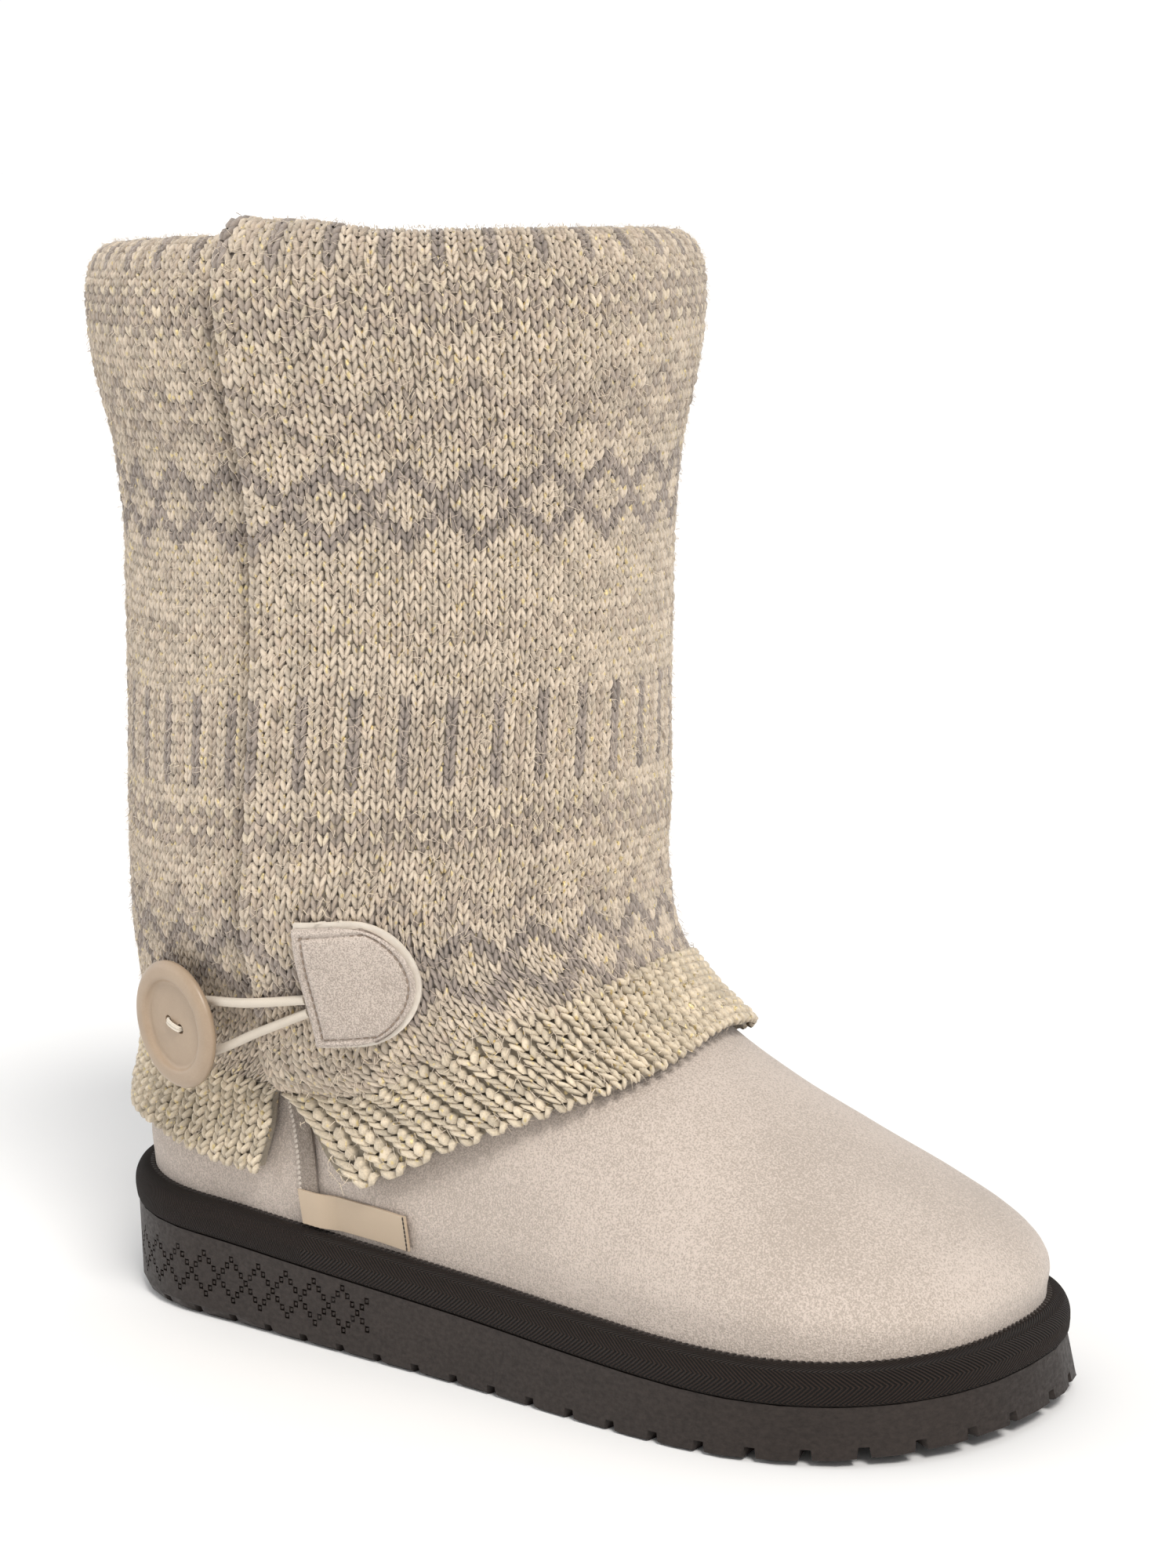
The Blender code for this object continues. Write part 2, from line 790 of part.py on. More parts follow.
def cuff_point(share, rise):
    """Point of the cuff's inner face, across from the front panel's rear edge, 0, to the rear panel's edge, 1.

    Rise runs from the inner turn's edge, 0, over the fold to the hem, 1.
    """
    start, end = cuff_edges(COLLAR_HEIGHT)
    around = mix(start, end, share)
    inside = -(UPPER_WALL + 2 * GAP) - lap(around, COLLAR_HEIGHT)
    if rise <= TURN_SHARE:
        height = mix(COLLAR_HEIGHT - TURN_DEEP, COLLAR_HEIGHT, rise / TURN_SHARE)
        return off_upper(around, level_at(around, height), inside)
    if rise < FOLD_SHARE:
        angle = math.pi * (rise - TURN_SHARE) / (FOLD_SHARE - TURN_SHARE)
        outside = cuff_stand(around, COLLAR_HEIGHT)
        reach = (outside - inside) / 2
        point = off_upper(around, TOP_LEVEL, (inside + outside) / 2 - reach * math.cos(angle))
        return point + Vector((0, 0, GAP + reach * FOLD_RISE * math.sin(angle)))
    down = (rise - FOLD_SHARE) / (1 - FOLD_SHARE)
    for _ in range(4):
        height = mix(COLLAR_HEIGHT, hem_height(around), down)
        start, end = cuff_edges(height)
        around = mix(start, end, share)
    return off_upper(around, level_at(around, height), cuff_stand(around, height))


def knit_cuff(group):
    """Knitted sleeve turned over the collar, its front panel lapped over the rear one down the outer side."""
    knit = material("knit", (0.55, 0.48, 0.38), 0.95)
    cuff = patch("knit_cuff", group, knit, CUFF_COLUMNS, CUFF_ROWS, cuff_point, flip=True)
    thicken(cuff, KNIT_THICK, 1.0)


def tab_point(across, up, edge, stand):
    """Point of a D with its straight edge to the rear, grown by an edge and laid on the cuff."""
    turn = math.pi * (1 - up)
    high = TAB_HIGH / 2 + edge
    height = TAB_HEIGHT + high * math.cos(turn) * TAB_UPRIGHT
    reach = TAB_LONG * mix(TAB_STRAIGHT, 1.0, math.sin(turn)) + edge
    rear = TAB_PLACE + TAB_LEAN * math.cos(turn)
    level = level_at(rear, height)
    around = rear + around_step(rear, level, across * reach)
    return on_cuff(around, height, stand)


def tab(group):
    """Suede D on a smooth backing, sewn on the front panel in front of the slit."""
    smooth_side = material("tab_backing", (0.66, 0.60, 0.52), 0.5)
    suede = material("tab_suede", (0.58, 0.51, 0.45), 0.9)
    layers = (
        ("tab_backing", smooth_side, BACKING_EDGE, TAB_SEAT, BACKING_THICK),
        ("tab", suede, 0.0, TAB_SEAT + BACKING_THICK + GAP, TAB_THICK),
    )
    for name, finish, edge, stand, thickness in layers:

        def on_tab(across, up, edge=edge, stand=stand):
            return tab_point(across, up, edge, stand)

        layer = patch(name, group, finish, 5, 10, on_tab)
        thicken(layer, thickness, 1.0)


def button_frame():
    """Seat of the button on the rear panel, its axis, and the two directions of its face."""
    seat = on_cuff(BUTTON_PLACE, BUTTON_HEIGHT, GAP)
    outward = upper_normal(BUTTON_PLACE, level_at(BUTTON_PLACE, BUTTON_HEIGHT))
    outward[2] = -math.sin(BUTTON_TILT)
    axis = outward.normalized()
    forward = Vector((0, 0, 1)).cross(axis).normalized()
    return seat, axis, forward, axis.cross(forward)


def turned(name, group, finish, profile, steps):
    """A solid turned round Z from a profile that runs down its outer side."""
    bm = bmesh.new()
    verts = [bm.verts.new((radius, 0, height)) for radius, height in profile]
    for first, second in zip(verts, verts[1:]):
        bm.edges.new((first, second))
    obj = mesh_object(name, bm, group, finish)
    screw = obj.modifiers.new("turn", "SCREW")
    screw.steps = steps
    screw.render_steps = steps
    screw.use_merge_vertices = True
    screw.merge_threshold = 0.00005
    return obj


def button(group, cutters):
    """Moulded button with a rounded rim, a dished middle and two holes."""
    horn = material("button_resin", (0.44, 0.33, 0.24), 0.4)
    seat, axis, forward, upward = button_frame()
    half = BUTTON_WIDE / 2
    profile = [(half - BUTTON_RIM * inset, BUTTON_THICK * height) for inset, height in BUTTON_SECTIONS]
    profile = [(0.0, profile[0][1]), *profile, (0.0, 0.0)]
    disc = turned("button", group, horn, profile, 28)
    turn = axis.to_track_quat("Z", "Y")
    disc.rotation_mode = "QUATERNION"
    disc.rotation_quaternion = turn
    disc.location = seat + axis * BUTTON_STAND
    bm = bmesh.new()
    for side in (-1, 1):
        made = bmesh.ops.create_cone(
            bm,
            cap_ends=True,
            segments=12,
            radius1=BUTTON_HOLE / 2,
            radius2=BUTTON_HOLE / 2,
            depth=BUTTON_THICK * 3,
        )
        across = turn.inverted() @ hole_direction(forward, upward)
        bmesh.ops.translate(bm, verts=made["verts"], vec=across * BUTTON_HOLE_APART / 2 * side)
    cutter = mesh_object("button_holes", bm, cutters, horn)
    cutter.hide_render = True
    cutter.display_type = "WIRE"
    cutter.rotation_mode = "QUATERNION"
    cutter.rotation_quaternion = turn
    cutter.location = disc.location
    cut = disc.modifiers.new("holes", "BOOLEAN")
    cut.operation = "DIFFERENCE"
    cut.solver = "EXACT"
    cut.object = cutter


def hole_direction(forward, upward):
    """Direction from one hole of the button to the other."""
    return forward * math.cos(HOLE_TURN) + upward * math.sin(HOLE_TURN)


def tube(name, group, finish, points, wide, sides=2):
    """Round cord along a smooth run of points, as a curve with filled caps."""
    curve = bpy.data.curves.new(name, "CURVE")
    curve.dimensions = "3D"
    curve.bevel_depth = wide / 2
    curve.bevel_resolution = sides
    curve.use_fill_caps = True
    spline = curve.splines.new("POLY")
    spline.points.add(len(points) - 1)
    for point, place in zip(spline.points, points):
        point.co = (*place, 1.0)
    curve.materials.append(finish)
    obj = bpy.data.objects.new(name, curve)
    group.objects.link(obj)
    return obj


def flowing(points, steps):
    """Points along a smooth curve through a few chosen ones."""
    rows = [(float(index), *point) for index, point in enumerate(points)]
    last = len(points) - 1
    run = []
    for step in range(last * steps + 1):
        run.append(Vector(smooth(rows, axis, step / steps) for axis in (1, 2, 3)))
    return run


def button_thread(group):
    """Sewing thread up through one hole, across the dish and down the other, both legs to the knit."""
    cotton = material("thread_cotton", (0.75, 0.70, 0.62), 0.9)
    seat, axis, forward, upward = button_frame()
    half = hole_direction(forward, upward) * BUTTON_HOLE_APART / 2
    dish = BUTTON_THICK * BUTTON_SECTIONS[0][1]
    top = BUTTON_STAND + dish + THREAD_WIDE / 2 + GAP
    corner = THREAD_WIDE * THREAD_CORNER
    inward = half.normalized() * corner
    bend = top - corner * THREAD_DROP
    points = (
        seat - half + axis * THREAD_WIDE,
        seat - half + axis * (top - corner),
        seat - half + inward * THREAD_BEND + axis * bend,
        seat - half + inward + axis * top,
        seat + half - inward + axis * top,
        seat + half - inward * THREAD_BEND + axis * bend,
        seat + half + axis * (top - corner),
        seat + half + axis * THREAD_WIDE,
    )
    tube("button_thread", group, cotton, points, THREAD_WIDE)


def elastic_loop(group):
    """Round elastic from the tab's straight edge, loosely round the button's thread and back."""
    elastic = material("elastic", (0.72, 0.66, 0.57), 0.8)
    seat, axis, forward, upward = button_frame()
    half = ELASTIC_WIDE / 2
    lift = TAB_SEAT + half
    behind = BUTTON_HOLE_APART / 2 + THREAD_WIDE / 2 + 2 * GAP + half
    neck = seat + axis * (lift + GAP)
    slit = cuff_edges(BUTTON_HEIGHT)[0]
    strands = []
    for side in (1, -1):
        height = TAB_HEIGHT + LOOP_RISE + side * LOOP_APART / 2
        rear = TAB_PLACE + TAB_LEAN * (height - TAB_HEIGHT) / (TAB_HIGH / 2)
        end = rear - around_step(rear, level_at(rear, height), 2 * GAP)
        crossing = mix(height, BUTTON_HEIGHT + side * LOOP_EYE, LOOP_CROSSING)
        strands.append(
            [
                on_cuff(end, height, lift),
                on_cuff(slit + SLIT_MARGIN, crossing, lift),
                neck + forward * LOOP_EYE * LOOP_REACH + upward * LOOP_EYE * side,
                neck + upward * LOOP_EYE * LOOP_NARROW * side,
            ]
        )
    points = strands[0] + [neck - forward * behind] + list(reversed(strands[1]))
    tube("elastic_loop", group, elastic, flowing(points, 3), ELASTIC_WIDE)


def side_label(group):
    """Small woven label, caught in the outer seam and lying forward over its strip; it is blank."""
    satin = material("label_satin", (0.68, 0.57, 0.42), 0.6)
    strip_end = around_step(0.25, 1.5, STRIP_WIDE / 2)
    low = level_at(0.25, upper_point(0.25, 1.0)[2] + 2 * GAP)

    def on_label(across, up):
        rear = 0.25 - strip_end
        around = rear + around_step(0.25, low, across * LABEL_LONG)
        past = (around - 0.25 - strip_end) / strip_end
        over_strip = GAP + STRIP_THICK + GAP
        stand = mix(over_strip, GAP, ease(past / 2))
        base = level_at(around, upper_point(around, 1.0)[2] + 2 * GAP)
        height = upper_point(around, base)[2] + up * LABEL_HIGH
        return off_upper(around, level_at(around, height), stand)

    label = patch("side_label", group, satin, 10, 3, on_label)
    thicken(label, LABEL_THICK, 1.0)


def main():
    clear_scene()
    boot = collection("mukluk_boot")
    cutters = collection("cutters")
    outsole(boot, cutters)
    platform_binding(boot)
    insole(boot)
    upper(boot)
    seam_strips(boot)
    knit_cuff(boot)
    tab(boot)
    button(boot, cutters)
    button_thread(boot)
    elastic_loop(boot)
    side_label(boot)


main()
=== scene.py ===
"""Looks of the right mukluk boot: suede foot, knitted cuff, platform sole, button and tab."""

import math

import bpy
import numpy as np
from mathutils import Matrix, Vector
from mathutils.kdtree import KDTree


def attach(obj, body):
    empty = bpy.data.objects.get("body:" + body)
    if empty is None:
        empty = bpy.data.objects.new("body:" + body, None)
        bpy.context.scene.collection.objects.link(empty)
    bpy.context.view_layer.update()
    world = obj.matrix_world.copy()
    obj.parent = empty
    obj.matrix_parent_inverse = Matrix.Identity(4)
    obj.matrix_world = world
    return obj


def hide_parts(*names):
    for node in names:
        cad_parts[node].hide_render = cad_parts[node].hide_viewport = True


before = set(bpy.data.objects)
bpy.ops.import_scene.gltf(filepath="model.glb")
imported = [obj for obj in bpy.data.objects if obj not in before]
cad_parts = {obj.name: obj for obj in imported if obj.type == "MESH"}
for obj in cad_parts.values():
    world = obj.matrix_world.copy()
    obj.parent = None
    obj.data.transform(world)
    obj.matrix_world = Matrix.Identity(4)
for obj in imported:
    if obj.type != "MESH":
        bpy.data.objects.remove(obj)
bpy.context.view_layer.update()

# Camera
CAMERA_PLACE = (0.68769, -0.76137, 0.32034)
CAMERA_AROUND = math.radians(36.96)
CAMERA_HIGH = math.radians(10.47)
CAMERA_ROLL = math.radians(-2.04)
CAMERA_LENS = 90.59

# Studio
FLOOR_WIDE = 60
WALL_AWAY = 12
WALL_WIDE = 30
WALL_HIGH = 8.0
SKY_STRENGTH = 0.62
LIGHTS = (
    # name, strength, degrees wide, colour, where it comes from
    ("key", 2.2, 18, (1.0, 0.97, 0.93), (0.72, -0.50, 0.92)),
    ("fill", 0.80, 60, (1.0, 1.0, 1.0), (-0.90, -0.35, 0.22)),
)

# Sole, last and shaft, the same sizes as the solids. All lengths are metres, and a place round the boot is a
# share: 0 at the heel, 0.25 at the outer seam, 0.5 at the toe and 0.75 at the inner seam
OUTER_SEAM = 0.25
INNER_SEAM = 0.75
SOLE_LENGTH = 0.270
BALL_WIDTH = 0.105
HEEL_BACK = 0.0351
HEEL_THICK = 0.0248
TOE_THICK = 0.0110
TOE_SPRING = 0.0035
SPRING_START = 0.70
OUTLINE_POINTS = 481
HEEL_ROUND = 0.045
TOE_ROUND = 0.060
TOE_SQUARE = 2.4
BINDING_HIGH = 0.0095
BINDING_BULGE = 0.0007
BINDING_WIDE = 0.0046
WHIP_STITCH = (0.0026, 0.0011, 0.0011)
WHIP_PITCH = 0.0019
UPPER_WALL = 0.0028
INSTEP_HEIGHT = 0.118
COLLAR_HEIGHT = 0.2760
COLLAR_DIP = 0.0090
DIP_PLACE = 0.83
SHAFT_DEPTH = 0.137
SHAFT_WIDTH = 0.116
SEAM_PLACE = 0.308
SEAM_UPRIGHT = 4.0
STRIP_WIDE = 0.0055
STRIP_THICK = 0.0009
STRIP_TOP = 0.092
STRIP_CROWN = 0.0004
PIPING_STITCHES = 44
PIPING_SIZE = (0.0023, 0.0013, 0.0015)
GAP = 0.0003

# Knit. A share of the sheet runs across it from edge to edge, and a rise runs from its turned-in edge at 0
# over the collar to the hem at 1
KNIT_THICK = 0.0034
TURN_DEEP = 0.034
FOLD_RISE = 0.8
LAP_CLEAR = 0.0005
LAP_START = 0.020
LAP_FADE = 0.060
HEM_LOW = 0.163
TURN_SHARE = 0.16
FOLD_SHARE = 0.32
STITCH_COLUMNS = 152
TURN_ROWS = 14
FOLD_ROWS = 8
ROW_HIGH = 0.0025
PATTERN_ROWS = 84
RIB_ROWS = 9
RIB_HIGH = 0.0235
RIB_HIGH_FRONT = 0.0155
EDGE_ROLL = 0.0013
EDGE_ROLL_WIDE = 0.0045
HAIRS = 24000
HAIR_LONG = 0.0034
HAIR_WIDE = 0.00015
VALLEY_DEEP = 0.0014
VALLEY_PLACE = 0.966
VALLEY_WIDE = 0.0032
VALLEY_START = 0.06
VALLEY_END = 0.80
VALLEY_FADE = 0.08
RIB_COLUMNS = 80
RIB_PLUMP = 1.6
RIB_SQUEEZE = 0.86
RIB_BULGE = 0.0006
RIB_LEAN = 0.40
LEAN_HIGH = 0.030
LEAN_FROM = 0.24
LEAN_SPAN = 0.50
HANG_LOW = 0.193
HANG_SPAN = 0.038
HANG_READ = 0.2
YARN_HIGH = 0.0012
LEG_ARC = 0.94
LEG_HALF = 0.23
LEG_FOOT = (0.40, -0.42)
LEG_SHOULDER = (0.10, 0.98)
STITCH_VARIES = 0.06
STITCH_SHIFTS = 0.03
STITCH_LIFTS = 0.00012
YARN_SHADE = 0.25
YARN_SHADE_VARIES = 0.14
EDGE_RADIUS = 0.0015
CUFF_WIDTH = 0.43
CUFF_DROP = 0.20
EDGE_SHARE = EDGE_RADIUS / CUFF_WIDTH
SMOOTH_PASSES = 60
SMOOTH_REACH = 0.075

# Tab, button and elastic
TAB_HIGH = 0.0315
TAB_LONG = 0.0272
TAB_STRAIGHT = 0.36
TAB_UPRIGHT = 0.96
TAB_THICK = 0.0012
TAB_PLACE = 0.2830
TAB_LEAN = 0.007
TAB_HEIGHT = 0.1030
TAB_SEAT = 0.0008
BACKING_THICK = 0.0009
BACKING_EDGE = 0.0010
TAB_SEAM = 0.0019
TAB_SEAM_DEEP = 0.00075
TAB_SEAM_WIDE = 0.0005
TAB_SEAM_START = 0.16
TAB_RIM = 0.0003
TAB_RIM_WIDE = 0.0008
TAB_STITCH = (0.0016, 0.0005, 0.0005)
TAB_STITCH_PITCH = 0.0021
BUTTON_WIDE = 0.0330
BUTTON_THICK = 0.0042
BUTTON_RIM = 0.0052
BUTTON_HOLE = 0.0026
BUTTON_HOLE_APART = 0.0052
BUTTON_STAND = 0.0042
BUTTON_PLACE = 0.190
BUTTON_HEIGHT = 0.088
BUTTON_TILT = math.radians(3)
HOLE_TURN = math.radians(-18)
THREAD_WIDE = 0.0014
STRAND_WIDE = 0.38
STRAND_APART = 0.28
STRAND_LIFT = 0.00012
ELASTIC_WIDE = 0.0024
LOOP_APART = 0.0036
LOOP_RISE = -0.0045
LOOP_EYE = 0.0066
LOOP_REACH = 1.3
LOOP_NARROW = 0.75
LOOP_CROSSING = 0.45
SLIT_MARGIN = 0.006

# Label
LABEL_LONG = 0.0280
LABEL_HIGH = 0.0092
LABEL_THICK = 0.0009
LABEL_LIFT = 0.0003
LABEL_CURL = 0.0006
LABEL_CURL_START = 0.7
LABEL_STITCH = (0.0012, 0.0005, 0.0004)
LABEL_STITCH_PITCH = 0.0011

# Relief of squares on the heel's wall
RELIEF_PITCH = 0.0102
RELIEF_COLUMNS = 6
RELIEF_ROWS = 7
RELIEF_PLAY = 0.0001
RELIEF_HIGH = 0.0128
RELIEF_MIDDLE = 0.0122
RELIEF_DEEP = 0.0011
RELIEF_LINE = 0.00050
RELIEF_REACH = 0.127
WALL_FACING = 0.93

# Outline of the sole: along in sole lengths, centre and half width in ball widths
SOLE_SECTIONS = (
    # along, centre, half
    (0.00, 0.028, 0.343),
    (0.09, 0.012, 0.343),
    (0.18, 0.003, 0.341),
    (0.30, -0.017, 0.350),
    (0.41, -0.024, 0.366),
    (0.52, -0.012, 0.403),
    (0.63, 0.007, 0.458),
    (0.74, 0.018, 0.497),
    (0.82, 0.021, 0.503),
    (0.91, 0.031, 0.503),
    (1.00, 0.046, 0.503),
)

# Rings of the foot: ends in sole lengths, heights as shares of the way from the sole to the instep, outer and
# inner reach in half ball widths, and how far the ring has turned from the sole's outline to an oval
FOOT_SECTIONS = (
    # back, back height, front, front height, outer, inner, round
    (0.0175, 0.206, 0.984, 0.172, 0.900, 0.970, 0.03),
    (0.0235, 0.313, 0.962, 0.252, 0.875, 0.940, 0.12),
    (0.0330, 0.410, 0.914, 0.340, 0.830, 0.890, 0.28),
    (0.0385, 0.496, 0.842, 0.432, 0.790, 0.840, 0.50),
    (0.0405, 0.587, 0.765, 0.530, 0.785, 0.815, 0.72),
    (0.0440, 0.700, 0.682, 0.655, 0.825, 0.830, 0.90),
    (0.0500, 0.828, 0.614, 0.812, 0.905, 0.900, 1.00),
)

# Rings of the shaft: height as a share of the way from instep to collar, centre in sole lengths, depth and
# width as shares of the shaft's own
SHAFT_SECTIONS = (
    # height, centre, depth, width
    (0.00, 0.3250, 1.015, 0.940),
    (0.14, 0.3300, 1.005, 0.970),
    (0.40, 0.3387, 0.990, 0.975),
    (0.70, 0.3477, 0.985, 0.975),
    (1.00, 0.3517, 1.085, 1.080),
)

# How far the cuff stands off the shaft, in knit thicknesses, as it drops from the collar to the lowest hem
CUFF_SECTIONS = (
    # drop, stand
    (0.000, 0.41),
    (0.045, 1.11),
    (0.120, 1.31),
    (0.200, 0.86),
    (0.320, 0.36),
    (0.480, 0.06),
    (1.000, 0.06),
)

# Height of the hem round the boot, as a share of the collar's height
HEM_SECTIONS = (
    # around, height
    (0.000, 0.190),
    (0.110, 0.183),
    (0.160, 0.169),
    (0.200, 0.163),
    (0.270, 0.167),
    (0.312, 0.213),
    (0.363, 0.255),
    (0.440, 0.286),
    (0.500, 0.302),
    (0.550, 0.297),
    (0.620, 0.272),
    (0.700, 0.238),
    (0.800, 0.208),
    (1.000, 0.190),
)

# Places round the boot of the slit's two edges, by height as a share of the collar's
SLIT_SECTIONS = (
    # height, front, rear
    (0.165, 0.2690, 0.2200),
    (0.185, 0.2620, 0.2270),
    (0.215, 0.2570, 0.2370),
    (0.240, 0.2500, 0.2430),
    (0.262, 0.2430, 0.2530),
    (0.300, 0.2350, 0.2640),
    (0.380, 0.2480, 0.2800),
    (0.460, 0.2590, 0.2910),
    (0.550, 0.2630, 0.2950),
    (0.700, 0.2685, 0.3005),
    (0.850, 0.2660, 0.2980),
    (1.000, 0.2590, 0.2910),
)

# Section of the platform's binding: inset in binding widths, bulge and height as shares of their own
BINDING_SECTIONS = (
    # inset, bulge, height
    (1.00, 0.0, 0.00),
    (0.05, 0.0, 0.00),
    (0.00, 0.9, 0.24),
    (0.00, 0.9, 0.58),
    (0.07, 0.0, 0.84),
    (0.36, 0.0, 0.98),
    (0.80, 0.0, 1.00),
    (1.00, 0.0, 0.90),
)

# Profile of the button from its middle: inset in rim widths, height in button thicknesses
BUTTON_SECTIONS = (
    # inset, height
    (1.30, 0.667),
    (1.12, 0.667),
    (1.00, 0.740),
    (0.87, 0.930),
    (0.69, 1.000),
    (0.31, 0.960),
    (0.08, 0.780),
    (0.00, 0.550),
    (0.12, 0.280),
    (0.58, 0.000),
)

# Yarns of the chart, from the lightest to grey
LIGHT = 0.0
PALE = 0.2
WARM = 0.25
TAN = 0.5
SOFT_GREY = 0.8
GREY = 1.0

# Bands of the knitted pattern from the fold to the ribbing
PATTERN_BANDS = (
    # rows, rule
    (2, "checks"),
    (5, "mottled"),
    (4, "specks"),
    (7, "trellis"),
    (1, "plain"),
    (9, "diamonds"),
    (7, "plain"),
    (2, "checks"),
    (4, "plain"),
    (10, "stripes"),
    (2, "plain"),
    (4, "mottled"),
    (4, "specks"),
    (3, "trellis"),
    (9, "diamonds"),
    (2, "plain"),
    (9, "specks"),
)


# Shape of the boot


def curve(rows, column, place):
    """Values of a table's column at places of its first column, on a smooth curve through the rows."""
    table = np.array(rows, float)
    places = table[:, 0]
    values = table[:, column]
    count = len(places)
    place = np.clip(np.asarray(place, float), places[0], places[-1])
    low = np.clip(np.searchsorted(places, place, side="right") - 1, 0, count - 2)
    before = np.maximum(np.arange(count) - 1, 0)
    after = np.minimum(np.arange(count) + 1, count - 1)
    slopes = (values[after] - values[before]) / (places[after] - places[before])
    span = places[low + 1] - places[low]
    share = (place - places[low]) / span
    square = share * share
    cube = square * share
    return (
        (2 * cube - 3 * square + 1) * values[low]
        + (cube - 2 * square + share) * slopes[low] * span
        + (3 * square - 2 * cube) * values[low + 1]
        + (cube - square) * slopes[low + 1] * span
    )


def mix(first, second, share):
    return first + (second - first) * share


def ease(share):
    share = np.clip(share, 0.0, 1.0)
    return share * share * (3 - 2 * share)


def bell(distance, width):
    return np.exp(-((distance / width) ** 2))


def numbered(rows):
    """Rows with their number as the first column, for a curve that takes one step from row to row."""
    return [(float(index), *row) for index, row in enumerate(rows)]


def sole_half_width(along):
    """Half width of the sole, rounded off at heel and toe."""
    half = curve(SOLE_SECTIONS, 2, along / SOLE_LENGTH) * BALL_WIDTH
    left = np.clip(1 - along / HEEL_ROUND, 0, 1)
    half = half * np.sqrt(1 - left * left)
    left = np.clip(1 - (SOLE_LENGTH - along) / TOE_ROUND, 0, 1)
    return half * np.maximum(1 - left**TOE_SQUARE, 0) ** (1 / TOE_SQUARE)


def sole_side(sign):
    """One side of the sole's outline: distances from the heel, points and directions."""
    along = SOLE_LENGTH * (1 - np.cos(np.pi * np.linspace(0, 1, OUTLINE_POINTS))) / 2
    side = curve(SOLE_SECTIONS, 1, along / SOLE_LENGTH) * BALL_WIDTH + sign * sole_half_width(along)
    points = np.stack([along, side], axis=1)
    steps = np.linalg.norm(np.diff(points, axis=0), axis=1)
    distances = np.concatenate([[0.0], np.cumsum(steps)])
    tangents = np.gradient(points, axis=0)
    tangents /= np.linalg.norm(tangents, axis=1)[:, None]
    return distances, points, tangents


SIDES = {-1: sole_side(-1), 1: sole_side(1)}


def seam_distance(sign):
    """Distance from the heel to the side seam, along one side of the outline."""
    distances, points, _ = SIDES[sign]
    return np.interp(SEAM_PLACE * SOLE_LENGTH, points[:, 0], distances)


def outline_distance(distance, sign, inset):
    """Points of one side of the sole's outline at distances from the heel."""
    distances, points, tangents = SIDES[sign]
    place = np.stack([np.interp(distance, distances, points[:, axis]) for axis in (0, 1)], axis=-1)
    tangent = np.stack([np.interp(distance, distances, tangents[:, axis]) for axis in (0, 1)], axis=-1)
    outward = np.stack([tangent[..., 1], -tangent[..., 0]], axis=-1) * -sign
    return place - outward * np.asarray(inset, float)[..., None]


def outline(around, inset=0.0):
    """Points of the outline, around from the heel 0 past the outer side 0.25 to the toe 0.5 and back."""
    around = np.asarray(around, float) % 1.0
    inset = np.broadcast_to(np.asarray(inset, float), around.shape)
    plans = []
    for sign in (-1, 1):
        reach = around if sign < 0 else 1 - around
        reach = np.clip(reach, 0, 0.5)
        seam = seam_distance(sign)
        total = SIDES[sign][0][-1]
        distance = np.where(reach <= 0.25, seam * reach / 0.25, mix(seam, total, (reach - 0.25) / 0.25))
        plans.append(outline_distance(distance, sign, inset))
    return np.where((around <= 0.5)[..., None], plans[0], plans[1])


def toe_spring(along):
    past = np.maximum(along / SOLE_LENGTH - SPRING_START, 0)
    return TOE_SPRING * (past / (1 - SPRING_START)) ** 2


def sole_top(along):
    return mix(HEEL_THICK, TOE_THICK, along / SOLE_LENGTH) + toe_spring(along)


def placed(along, side, height):
    """Points in the boot's frame, from distances measured from the back of the sole."""
    return np.stack(np.broadcast_arrays(along - HEEL_BACK, side, height), axis=-1)


def upper_sections():
    """All rings of the upper from the sole to the collar, in metres and numbered."""
    inset = BINDING_WIDE + GAP
    half = BALL_WIDTH / 2
    back = outline(0.0, inset)[0]
    front = outline(0.5, inset)[0]
    outer = -outline(np.linspace(0, 0.5, 41), inset)[:, 1].min()
    inner = outline(np.linspace(0.5, 1, 41), inset)[:, 1].max()
    rows = []
    for height in (GAP, BINDING_HIGH):
        rows.append((back, sole_top(back) + height, front, sole_top(front) + height, outer, inner, 0.0))
    for row in FOOT_SECTIONS:
        back_height = mix(HEEL_THICK, INSTEP_HEIGHT, row[1])
        front_height = mix(sole_top(SOLE_LENGTH), INSTEP_HEIGHT, row[3])
        ends = (row[0] * SOLE_LENGTH, back_height, row[2] * SOLE_LENGTH, front_height)
        rows.append((*ends, row[4] * half, row[5] * half, row[6]))
    for row in SHAFT_SECTIONS:
        height = mix(INSTEP_HEIGHT, COLLAR_HEIGHT, row[0])
        centre = row[1] * SOLE_LENGTH
        reach = row[2] * SHAFT_DEPTH / 2
        wide = row[3] * SHAFT_WIDTH / 2
        rows.append((centre - reach, height, centre + reach, height, wide, wide, 1.0))
    return numbered(rows)


UPPER_ROWS = upper_sections()
TOP_LEVEL = UPPER_ROWS[-1][0]
SHAFT_LEVEL = TOP_LEVEL - len(SHAFT_SECTIONS) + 1


def oval_turn(around, back, front, level):
    """Angle round an oval section, which keeps the side seams upright over the foot."""
    upright = ease((level - SEAM_UPRIGHT) / (SHAFT_LEVEL - SEAM_UPRIGHT))
    seam = mix(SEAM_PLACE * SOLE_LENGTH, (back + front) / 2, upright)
    seam_turn = np.arccos(1 - 2 * (seam - back) / (front - back))
    reach = around % 1.0
    mirrored = reach > 0.5
    reach = np.where(mirrored, 1 - reach, reach)
    turn = np.where(reach <= 0.25, seam_turn * reach / 0.25, mix(seam_turn, np.pi, (reach - 0.25) / 0.25))
    return np.where(mirrored, -turn, turn)


